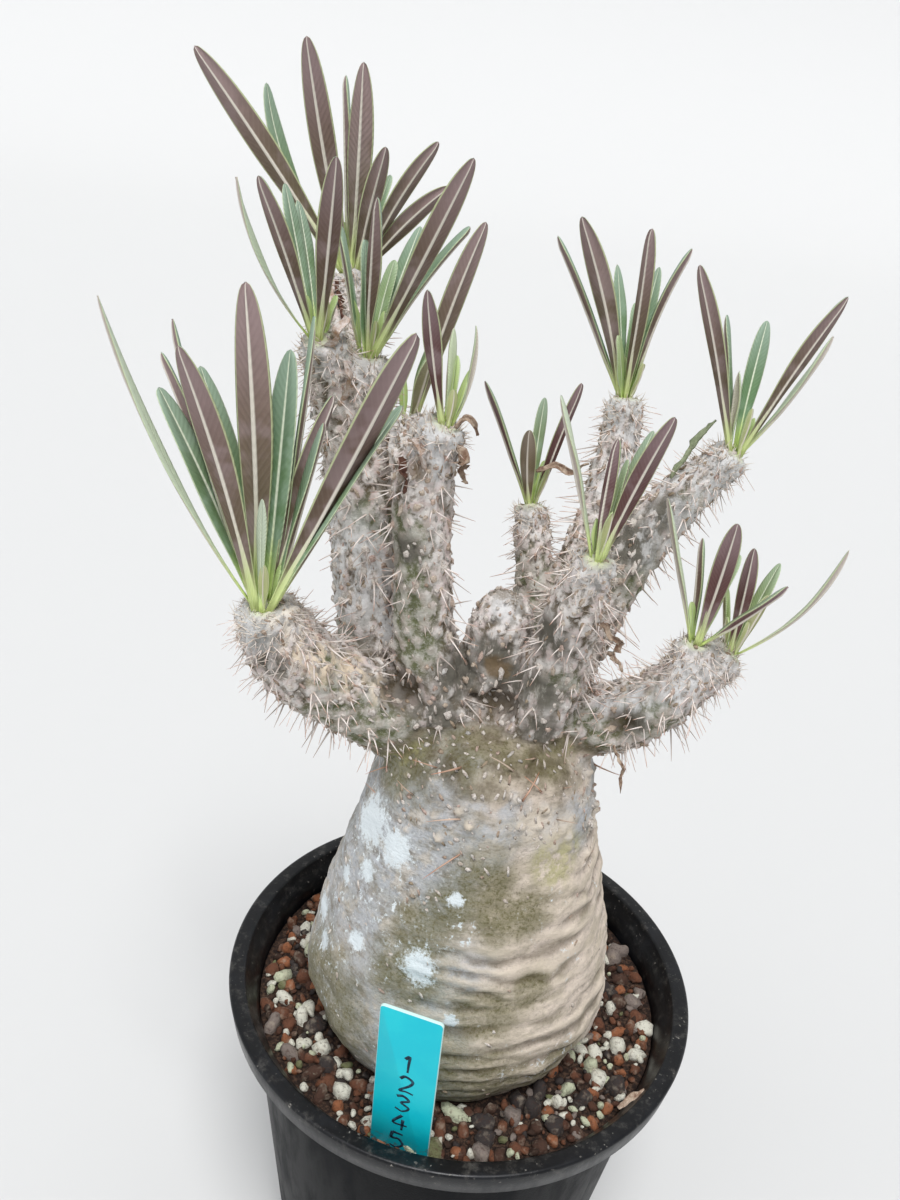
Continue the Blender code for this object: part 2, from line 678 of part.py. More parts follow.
def label_outline():
    """Corners of the label: a square top with small round corners and a pointed foot."""
    half = LABEL_WIDTH / 2
    points = [(0, 0), (half, LABEL_POINT), (half, LABEL_HEIGHT - LABEL_CORNER)]
    for step in range(1, 4):
        angle = step * math.pi / 6
        points.append((half - LABEL_CORNER * (1 - math.cos(angle)),
                       LABEL_HEIGHT - LABEL_CORNER * (1 - math.sin(angle))))
    return points + [(-x, y) for x, y in reversed(points[1:])]


def plate(name, collection, margin):
    """The label's plate as a mesh, larger all round by a margin."""
    curve = bpy.data.curves.new(name, "CURVE")
    curve.dimensions = "2D"
    curve.fill_mode = "BOTH"
    curve.extrude = LABEL_THICKNESS / 2 + margin
    spline = curve.splines.new("POLY")
    outline = label_outline()
    spline.points.add(len(outline) - 1)
    middle = LABEL_HEIGHT / 2
    for point, (x, y) in zip(spline.points, outline):
        grow_x = 1 + margin / (LABEL_WIDTH / 2)
        grow_y = 1 + 2 * margin / middle
        point.co = (x * grow_x, middle + (y - middle) * grow_y, 0, 1)
    spline.use_cyclic_u = True
    guide = bpy.data.objects.new(name, curve)
    collection.objects.link(guide)
    guide.matrix_world = label_matrix() @ Matrix.Rotation(math.pi / 2, 4, "X")
    bpy.context.view_layer.update()
    mesh = bpy.data.meshes.new_from_object(guide.evaluated_get(bpy.context.evaluated_depsgraph_get()))
    matrix = guide.matrix_world.copy()
    bpy.data.objects.remove(guide, do_unlink=True)
    solid = bmesh.new()
    solid.from_mesh(mesh)
    bmesh.ops.remove_doubles(solid, verts=solid.verts, dist=MERGE_DISTANCE)
    solid.to_mesh(mesh)
    solid.free()
    mesh.transform(matrix)
    return link_mesh(name, mesh, collection)


def build():
    """Build every sub-part."""
    clear_scene()
    model = new_collection("potted pachypodium gracilius")
    cutters = new_collection("cutters")
    black = finish("black_plastic", (0.02, 0.022, 0.026), 0.45)
    earth = finish("gritty_soil", (0.16, 0.07, 0.04), 0.95)
    bark = finish("caudex_bark", (0.38, 0.36, 0.3), 0.8)
    green = finish("leaf_green", (0.09, 0.17, 0.07), 0.5)
    turquoise = finish("label_plastic", (0.06, 0.45, 0.46), 0.4)
    make_pot(model, cutters, black)
    make_soil(model, cutters, earth)
    rosettes = [make_rosette(name, model, green) for name in LEAVES]
    make_caudex(model, cutters, bark, rosettes)
    label = plate("label", model, 0)
    label.data.materials.append(turquoise)


build()
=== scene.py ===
"""Looks of a potted pachypodium gracilius.

The caudex with its arms and spines, the leaf tufts, the gritty soil, the black pot and the plant label with
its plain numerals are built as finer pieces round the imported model, in its frame: metres, +Z up, the pot's
base on Z = 0 and the label's side towards -Y. Places and sizes in the tables are in millimetres, and MM turns
them into metres.
"""

from __future__ import annotations

import json
import logging
import math
import random
from collections.abc import Iterable, Sequence
from dataclasses import dataclass, field
from enum import Enum
from functools import partial, reduce
from itertools import accumulate

import bmesh
import bpy
import numpy as np
from mathutils import Matrix, Vector, noise
from mathutils.kdtree import KDTree

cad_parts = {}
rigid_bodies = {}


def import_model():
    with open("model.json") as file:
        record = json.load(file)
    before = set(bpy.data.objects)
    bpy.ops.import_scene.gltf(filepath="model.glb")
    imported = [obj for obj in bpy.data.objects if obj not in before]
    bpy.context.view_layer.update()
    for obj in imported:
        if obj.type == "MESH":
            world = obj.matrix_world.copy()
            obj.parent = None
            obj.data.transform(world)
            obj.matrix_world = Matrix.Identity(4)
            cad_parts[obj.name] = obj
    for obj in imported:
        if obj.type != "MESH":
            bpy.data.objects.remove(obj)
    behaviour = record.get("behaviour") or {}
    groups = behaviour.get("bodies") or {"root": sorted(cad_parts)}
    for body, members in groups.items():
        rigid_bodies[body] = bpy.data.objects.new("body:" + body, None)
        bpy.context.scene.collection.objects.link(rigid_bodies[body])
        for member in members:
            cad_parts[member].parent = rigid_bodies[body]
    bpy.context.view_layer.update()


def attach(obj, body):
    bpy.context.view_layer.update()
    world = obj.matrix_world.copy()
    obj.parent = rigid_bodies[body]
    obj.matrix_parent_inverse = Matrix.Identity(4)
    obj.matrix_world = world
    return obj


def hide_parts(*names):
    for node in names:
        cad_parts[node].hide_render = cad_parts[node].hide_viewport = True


MM = 0.001
BODY = "root"
GOLDEN_ANGLE = math.pi * (3 - math.sqrt(5))
UP = Vector((0, 0, 1))
LOG = logging.getLogger("potted_caudex")

Colour = tuple[float, float, float, float]
Profile = list[tuple[float, float]]
Inputs = dict[str | int, object]
Socket = bpy.types.NodeSocket
Mesh = bpy.types.Mesh
Object = bpy.types.Object
Material = bpy.types.Material


class Slot(Enum):
    """Material slots of the record."""

    POT = "black_plastic"
    SOIL = "gritty_soil"
    BARK = "caudex_bark"
    LEAF = "leaf_green"
    LABEL = "label_plastic"


def rgb(red: int, green: int, blue: int) -> Colour:
    """Turn a display colour of 0 to 255 into Blender's linear colour."""
    shares = [value / 255 for value in (red, green, blue)]
    return (*(s / 12.92 if s <= 0.04045 else ((s + 0.055) / 1.055) ** 2.4 for s in shares), 1.0)


def ease(value: np.ndarray | float, low: float, high: float) -> np.ndarray | float:
    """Step smoothly from 0 at low to 1 at high, for a number or an array."""
    share = np.clip((value - low) / (high - low), 0.0, 1.0)
    return share * share * (3 - 2 * share)


# Shared skeleton: the caudex, its arms and its leaves

# (radius, height) of the caudex's turned body from the foot in the soil up to the shoulder
CAUDEX_AXIS = (-1.6, -3.2)
CAUDEX_PROFILE = [
    (0, 85), (27, 86), (32.5, 93), (36, 100), (38, 107), (37.6, 114), (36.2, 121),
    (33.3, 135), (29.5, 150), (26.6, 162), (25, 170), (21.5, 178), (13, 184), (0, 186),
]

# (x, y, z, radius) along each arm, from inside the shoulder to the growing tip
ARMS = {
    "left_arm": [
        (-8, -4, 168, 11), (-20, -6, 179, 10), (-32, -10, 188, 9), (-41, -15, 195, 8.2),
        (-47, -19, 203, 7.8), (-51, -23, 214, 5.2)],
    "top_left": [
        (-12, -2, 170, 10), (-24, -1, 182, 9), (-30, 0, 196, 7.6), (-33, 2, 213, 7.4),
        (-36, 4, 234, 7.2), (-41, 3, 249, 5.8), (-46, -2, 263, 3.6)],
    "top_middle": [(-37, 4, 236, 6), (-38, 3, 249, 5.2), (-36.7, 3, 259.5, 4.2)],
    "top_back": [(-36, 5, 232, 6), (-40, 12, 248, 5.6), (-42, 20, 259, 5), (-43.4, 26, 269.5, 4.2)],
    "middle_front": [
        (-8, -4, 172, 10), (-15, -6, 187, 8.5), (-19, -8, 202, 6.4), (-21, -9, 220, 5.4),
        (-22.5, -9, 237, 5.4), (-21, -11, 247, 4.4), (-19.3, -12, 252.5, 3.7)],
    "middle_back": [(-22, -9, 234, 5), (-25, -4, 241, 4.4), (-27.5, 3, 246.5, 3.7)],
    "stump": [
        (-3, -4, 178, 9), (-3, -4, 196, 7.6), (-3, -5, 206, 6.4), (-2.5, -6, 211.5, 5),
        (-2, -6.5, 214.5, 2.5)],
    "short_back": [(4, 4, 178, 8), (6, 9, 200, 6.4), (4, 13, 211, 4.2), (1, 18, 225.5, 2.8)],
    "front_right": [
        (4, -6, 178, 9), (8, -9, 193, 7.4), (10, -12, 206, 5.8), (11, -17, 220, 5),
        (12.4, -22, 233, 3.2)],
    "far_right": [
        (8, 2, 180, 8), (14, 4, 200, 7.4), (21, 8, 215, 6), (31, 11, 232, 4.9),
        (41.5, 11, 245.5, 3.4)],
    "upper_right": [
        (8, 6, 185, 8), (13, 11, 208, 6.6), (17, 18, 222, 5), (19, 24, 237, 4.4),
        (18.8, 27, 249.5, 3.2)],
    "low_right_left": [
        (4, -2, 172, 11), (14, -2, 181, 9.6), (21, -4, 184.5, 7.8), (29, -8, 191, 6.6),
        (36, -12, 202, 5.4), (36.9, -13, 212.5, 3.2)],
    "low_right_right": [(33, -10, 198, 5.6), (40, -12, 205, 4.6), (44.7, -12, 210.5, 3.2)],
}

# (heading, lean, length, width, curl, twist) of each leaf: the heading is the angle from +X towards +Y, the
# lean is from straight up, the curl bends the blade over and the twist turns it about its own rib
LEAVES = {
    "left_arm": [
        (190, 24.5, 66, 2.6, -16, -6), (160, 29.5, 46, 6.5, 6, -8), (150, 29.5, 52, 5.5, 6, 67),
        (220, 16.5, 57, 5.8, 8, 42), (135, 28.5, 48, 6.5, 8, 12), (155, 21, 57, 4, -10, 38),
        (145, 5, 63, 7, 6, 120), (75, 7, 51, 6.5, 4, -10), (265, 3, 25, 2.4, 0, 150),
        (15, 12, 40, 5.5, 0, -3), (45, 17, 44, 5.5, 6, -80), (325, 25.5, 70, 6.5, 6, -27),
        (340, 27, 54, 6, 8, 37), (45, 7, 58, 3, -6, -35)],
    "top_left": [
        (195, 26.5, 33, 1.9, -32, -10), (230, 25, 34, 4.2, 10, 20), (140, 21, 29, 3.6, 6, 0),
        (285, 17, 37, 4.6, 4, 10), (120, 30, 27, 4, 6, 30)],
    "top_middle": [
        (165, 14, 25, 4.5, 0, 15), (275, 21, 35, 4, 4, -50), (255, 10, 24, 3.4, 0, -100),
        (55, 15, 19, 4, 4, -5), (55, 26, 27, 4, 8, 5), (320, 27, 46, 5, 8, -30),
        (355, 31, 32, 5, 12, 12)],
    "top_back": [
        (190, 37.5, 52, 5.5, 6, 75), (220, 15, 47, 5.4, 4, 45), (130, 8.5, 39, 4.5, 4, 70),
        (270, 3.5, 42, 5.2, 4, -10), (90, 14, 34, 5, 4, -130), (300, 21.5, 30, 4.2, 4, -12),
        (55, 23, 22, 4, 4, -15), (345, 27.5, 33, 4.4, 10, -42), (355, 40, 27, 4.2, 14, -68),
        (160, 30, 42, 4.5, -40, -15)],
    "middle_back": [(350, 14, 43, 4.6, 6, -65), (295, 22, 18, 4, 0, 30), (70, 33, 20, 4, 6, -15)],
    "middle_front": [
        (235, 17, 28, 3.5, 6, 20), (100, 7, 18, 2.6, 4, 60), (80, 11, 13, 3, 0, -45),
        (0, 6, 20, 1.7, -30, -18)],
    "short_back": [
        (190, 25, 31, 3, 8, 12), (240, 14, 20, 3.8, 0, 12), (90, 13, 24, 3, 4, 20),
        (335, 12, 31, 3.2, 8, -38)],
    "front_right": [
        (180, 19, 33, 2.6, 6, 2), (260, 2, 25, 3.4, 4, -42), (45, 8, 20, 3.2, 4, -30),
        (45, 20, 26, 3.6, 8, -3), (0, 16, 30, 4.2, 8, -45), (305, 19.5, 35, 4.2, 6, -27)],
    "upper_right": [
        (170, 30.5, 38, 4, 4, 20), (200, 23, 42, 5, 8, 48), (125, 19, 29, 3.4, 4, 0),
        (220, 18, 16, 3.2, 0, -70), (95, 17, 21, 3.4, 4, 25), (255, 11, 39, 4.4, 4, -33),
        (65, 11.5, 29, 3.6, 6, -8), (0, 12, 35, 4, 18, -28)],
    "far_right": [
        (205, 24, 43, 4.1, 6, 28), (155, 14, 29, 3.4, 4, 8), (180, 6, 18, 2.6, 0, 15),
        (75, 17, 28, 4, 8, 20), (330, 20, 39, 3.9, 8, -42), (10, 27, 30, 2.9, -14, -28)],
    "low_right_left": [
        (180, 19.5, 33, 2.6, 4, 3), (115, 12, 22, 3.2, 4, 72), (275, 11, 31, 4.5, 6, -12),
        (40, 19, 20, 3.2, 8, -20), (320, 36, 25, 3.4, -4, -8)],
    "low_right_right": [
        (245, 6, 26, 3.4, 4, 2), (35, 20, 21, 3.4, 6, 0), (0, 14, 15, 3, 6, -65),
        (130, 16, 14, 3.5, 0, 30), (345, 28, 33, 2.2, -38, -22)],
}
# Tufts whose leaves are tinged red, and tufts whose leaves are darker
RED_TUFTS = ("front_right", "low_right_left", "low_right_right", "middle_front", "short_back")
DARK_TUFTS = ("left_arm", "top_left", "far_right", "middle_back")
# Samples in each stretch of an arm's path, and the height where the body's shoulder ends
ARM_STEPS = 8
SHOULDER = 183 * MM


def catmull(points: Sequence[Vector], steps: int) -> list[Vector]:
    """Read a smooth curve through points.

    Args:
        points: The curve's own points, of any size.
        steps: How many samples lie in each stretch between two points.

    Returns:
        The samples from the first point to the last.
    """
    ends = [2 * points[0] - points[1], *points, 2 * points[-1] - points[-2]]
    samples = []
    for a, b, c, d in zip(ends, ends[1:], ends[2:], ends[3:]):
        for step in range(steps):
            t = step / steps
            samples.append(0.5 * (2 * b + (c - a) * t + (2 * a - 5 * b + 4 * c - d) * t * t
                                  + (3 * b - a - 3 * c + d) * t ** 3))
    return [*samples, points[-1]]


@dataclass(frozen=True)
class ArmPath:
    """An arm's smooth path with its radius, and what is read from it."""

    name: str
    samples: tuple[Vector, ...]

    @classmethod
    def named(cls, name: str) -> ArmPath:
        """Read the path of one arm of the table."""
        points = [Vector(point) * MM for point in ARMS[name]]
        return cls(name, tuple(catmull(points, ARM_STEPS)))

    def direction(self, index: int) -> Vector:
        """Direction of growth at a sample."""
        low, high = max(index - 1, 0), min(index + 1, len(self.samples) - 1)
        return (self.samples[high].xyz - self.samples[low].xyz).normalized()

    def length_left(self) -> list[float]:
        """Length from each sample to the growing tip, down to 0."""
        pairs = zip(self.samples[-2::-1], self.samples[:0:-1])
        return list(accumulate(((high.xyz - low.xyz).length for low, high in pairs), initial=0.0))[::-1]

    def tip(self) -> tuple[Vector, Vector, float]:
        """Place, direction and radius of the growing tip."""
        end, before = self.samples[-1], self.samples[-1 - ARM_STEPS]
        return end.xyz, (end.xyz - before.xyz).normalized(), end.w


# Mesh helpers


def add_object(name: str, mesh: Mesh, materials: Iterable[Material] = ()) -> Object:
    """Put a mesh in the scene, smooth shaded.

    Args:
        name: Name of the object and its mesh.
        mesh: The finished mesh.
        materials: Materials in the order of the mesh's material indices.

    Returns:
        The new object, at the origin.
    """
    mesh.name = name
    for material in materials:
        if material.name not in mesh.materials:
            mesh.materials.append(material)
    mesh.shade_smooth()
    obj = bpy.data.objects.new(name, mesh)
    bpy.context.scene.collection.objects.link(obj)
    return obj


def drop(obj: Object) -> None:
    """Remove an object's mesh, and the object with it."""
    bpy.data.meshes.remove(obj.data)


def evaluated_mesh(obj: Object) -> Mesh:
    """Read an object's mesh, with its modifiers applied, as a new mesh."""
    graph = bpy.context.evaluated_depsgraph_get()
    return bpy.data.meshes.new_from_object(obj.evaluated_get(graph), depsgraph=graph)


def clean(mesh: Mesh, distance: float = 0.002 * MM) -> Mesh:
    """Weld a mesh's doubles and turn its faces outwards.

    Args:
        mesh: The mesh, which is changed.
        distance: How close two vertices lie that are welded.

    Returns:
        The same mesh.
    """
    work = bmesh.new()
    work.from_mesh(mesh)
    bmesh.ops.remove_doubles(work, verts=work.verts, dist=distance)
    bmesh.ops.recalc_face_normals(work, faces=work.faces)
    work.to_mesh(mesh)
    work.free()
    return mesh


def finished(name: str, work: bmesh.types.BMesh) -> Mesh:
    """Turn edited geometry into a new mesh.

    Args:
        name: Name of the mesh.
        work: The edited geometry, which is freed.

    Returns:
        The mesh.
    """
    mesh = bpy.data.meshes.new(name)
    work.to_mesh(mesh)
    work.free()
    return mesh


def loft(name: str, rings: Sequence[Sequence[Vector]]) -> Mesh:
    """Skin closed rings of equal length into one closed mesh with capped ends.

    Args:
        name: Name of the mesh.
        rings: Rings of points from one end to the other.

    Returns:
        The mesh. Its faces go ring by ring, and the two caps come last.
    """
    count = len(rings[0])
    points = [tuple(point) for ring in rings for point in ring]
    faces = []
    for row in range(len(rings) - 1):
        for i in range(count):
            j = (i + 1) % count
            low, high = row * count, (row + 1) * count
            faces.append((low + i, low + j, high + j, high + i))
    faces.append(tuple(range(count))[::-1])
    faces.append(tuple(range(len(points) - count, len(points))))
    mesh = bpy.data.meshes.new(name)
    mesh.from_pydata(points, [], faces)
    return mesh


def frame_of(direction: Vector) -> Matrix:
    """A rotation whose Z runs along the direction."""
    return direction.to_track_quat("Z", "Y").to_matrix()


def circle(centre: Vector, direction: Vector, radius: float, sides: int) -> list[Vector]:
    """Points of a circle round a direction.

    Args:
        centre: Its middle.
        direction: Its axis.
        radius: Its radius.
        sides: How many points it has.

    Returns:
        The points in order.
    """
    turn = frame_of(direction)
    angles = [2 * math.pi * i / sides for i in range(sides)]
    return [centre + turn @ Vector((radius * math.cos(a), radius * math.sin(a), 0)) for a in angles]


def turned(name: str, profile: Profile, sides: int, axis: Sequence[float] = (0, 0)) -> Mesh:
    """Turn (radius, height) points, which lead from the axis round to the axis, into a closed mesh."""
    rings = [circle(Vector((*axis, z)), UP, max(radius, 0.001 * MM), sides) for radius, z in profile]
    return clean(loft(name, rings))


def vectors(items: bpy.types.bpy_prop_collection, kind: str) -> np.ndarray:
    """Read the named vector of each vertex, or of each vertex normal, as rows."""
    return np.array([getattr(item, kind) for item in items], float)


def move(mesh: Mesh, places: np.ndarray) -> None:
    """Move a mesh's vertices to new places."""
    mesh.vertices.foreach_set("co", places.astype(np.float32).ravel())
    mesh.update()


def store(mesh: Mesh, name: str, values: np.ndarray) -> None:
    """Keep a value for each vertex as an attribute.

    Args:
        mesh: The mesh.
        name: Name of the attribute.
        values: One number or vector for each vertex.
    """
    vector = values.ndim == 2
    kind, part = ("FLOAT_VECTOR", "vector") if vector else ("FLOAT", "value")
    attribute = mesh.attributes.new(name, kind, "POINT")
    attribute.data.foreach_set(part, values.astype(np.float32).ravel())


def noise_at(places: np.ndarray, size: float, seed: int, octaves: int = 1) -> np.ndarray:
    """Smooth noise of about -1 to 1 at each place, with bumps of that size, where the seed shifts it."""
    shift = np.array((seed * 13.7, seed * 5.3, seed * 9.1))
    return np.array([noise.fractal(Vector(place), 1.0, 2.0, octaves) for place in places / size + shift])


def nearest_of(places: Sequence[Vector]) -> KDTree:
    """Sort places so that the nearest can be found.

    Args:
        places: The places.

    Returns:
        The tree of them, which gives each place's number in the row.
    """
    tree = KDTree(len(places))
    for index, place in enumerate(places):
        tree.insert(place, index)
    tree.balance()
    return tree


def cells_at(places: np.ndarray, size: float) -> np.ndarray:
    """Distance from each place to the nearest of scattered points, as a share of their spacing."""
    return np.array([noise.voronoi(Vector(place))[0][0] for place in places / size])


# Node helpers


class Net:
    """Adds nodes to one node tree and joins them."""

    def __init__(self, tree: bpy.types.NodeTree) -> None:
        """Keep the tree that the nodes are added to."""
        self.tree = tree

    def add(self, kind: str, inputs: Inputs | None = None, **options: object) -> bpy.types.Node:
        """Add a node.

        Args:
            kind: Blender's name of the node's type.
            inputs: A value or a socket for each input, by name or number.
            **options: The node's own settings.

        Returns:
            The new node.
        """
        node = self.tree.nodes.new(kind)
        for option, value in options.items():
            setattr(node, option, value)
        for key, value in (inputs or {}).items():
            self.feed(node.inputs[key], value)
        node.location = (180 * len(self.tree.nodes), 0)
        return node

    def feed(self, socket: Socket, value: object) -> None:
        """Link a socket to another, or set its value.

        Args:
            socket: A node's input.
            value: A node's output, or a plain value.
        """
        if isinstance(value, Socket):
            self.tree.links.new(value, socket)
        else:
            socket.default_value = value


class Paint(Net):
    """One Principled material, made of patterns on Object coordinates, UV maps and attributes."""

    def __init__(self, name: str, roughness: float, specular: float = 0.5) -> None:
        """Start a material.

        Args:
            name: Name of the material.
            roughness: The shader's roughness.
            specular: The shader's specular level.
        """
        self.material = bpy.data.materials.new(name)
        self.material.use_nodes = True
        super().__init__(self.material.node_tree)
        self.shader = self.tree.nodes["Principled BSDF"]
        self.shader.inputs["Roughness"].default_value = roughness
        self.shader.inputs["Specular IOR Level"].default_value = specular
        self.where = self.add("ShaderNodeTexCoord").outputs["Object"]
        self.colour: Socket | Colour = rgb(0, 0, 0)

    def attribute(self, name: str) -> Socket:
        """Read a number that the mesh keeps for each vertex."""
        return self.add("ShaderNodeAttribute", attribute_name=name).outputs["Fac"]

    def parts(self, vector: Socket) -> tuple[Socket, Socket, Socket]:
        """Split a vector into its three numbers."""
        outputs = self.add("ShaderNodeSeparateXYZ", {0: vector}).outputs
        return outputs[0], outputs[1], outputs[2]

    def noise(self, size: float, detail: float = 3, rough: float = 0.55,
              stretch: Sequence[float] = (1, 1, 1)) -> Socket:
        """Noise from 0 to 1 on Object coordinates.

        Args:
            size: Size of its bumps in metres.
            detail: How many finer layers it has.
            rough: Strength of the finer layers.
            stretch: Scale along each axis, where under 1 draws the bumps out.

        Returns:
            The noise's number.
        """
        where = self.add("ShaderNodeMapping", {"Vector": self.where, "Scale": stretch}).outputs[0]
        inputs = {"Vector": where, "Scale": 1 / size, "Detail": detail, "Roughness": rough}
        return self.add("ShaderNodeTexNoise", inputs).outputs[0]

    def step(self, value: Socket, low: float, high: float, start: float = 0, end: float = 1) -> Socket:
        """Step smoothly from start at low to end at high."""
        inputs = {"Value": value, "From Min": low, "From Max": high, "To Min": start, "To Max": end}
        return self.add("ShaderNodeMapRange", inputs, interpolation_type="SMOOTHSTEP").outputs[0]

    def calc(self, operation: str, first: Socket | float, second: Socket | float = 0) -> Socket:
        """Do one sum with the Math node."""
        return self.add("ShaderNodeMath", {0: first, 1: second}, operation=operation).outputs[0]

    def both(self, *values: Socket | float) -> Socket:
        """Multiply two or more values."""
        return reduce(partial(self.calc, "MULTIPLY"), values)

    def mix(self, share: Socket | float, first: Socket | Colour, second: Socket | Colour) -> Socket:
        """Mix two colours."""
        inputs = {0: share, 6: first, 7: second}
        return self.add("ShaderNodeMix", inputs, data_type="RGBA").outputs[2]

    def lay(self, share: Socket | float, colour: Socket | Colour) -> None:
        """Lay a colour over those laid so far."""
        self.colour = self.mix(share, self.colour, colour)

    def bands(self, value: Socket, stops: Sequence[tuple[float, Colour]], blend: str = "LINEAR") -> Socket:
        """Colour a number by a ramp.

        Args:
            value: The number, from 0 to 1.
            stops: (place, colour) of each stop.
            blend: How the ramp goes from stop to stop.

        Returns:
            The colour.
        """
        node = self.add("ShaderNodeValToRGB", {0: value})
        node.color_ramp.interpolation = blend
        points = node.color_ramp.elements
        while len(points) < len(stops):
            points.new(1)
        for point, (place, colour) in zip(points, stops):
            point.position = place
            point.color = colour
        return node.outputs[0]

    def dress(self, colour: Socket | Colour, relief: Sequence[tuple[Socket, float]] = (),
              roughness: Socket | None = None) -> Material:
        """Link the finished patterns to the shader.

        Args:
            colour: The surface's colour.
            relief: Heights from 0 to 1, each with its depth in metres.
            roughness: Roughness where it varies.

        Returns:
            The finished material.
        """
        self.feed(self.shader.inputs["Base Color"], colour)
        normal = None
        for height, depth in relief:
            inputs = {"Height": height, "Distance": depth, "Strength": 1.0}
            if normal:
                inputs["Normal"] = normal
            normal = self.add("ShaderNodeBump", inputs).outputs[0]
        if normal:
            self.feed(self.shader.inputs["Normal"], normal)
        if roughness:
            self.feed(self.shader.inputs["Roughness"], roughness)
        return self.material


# Finishes


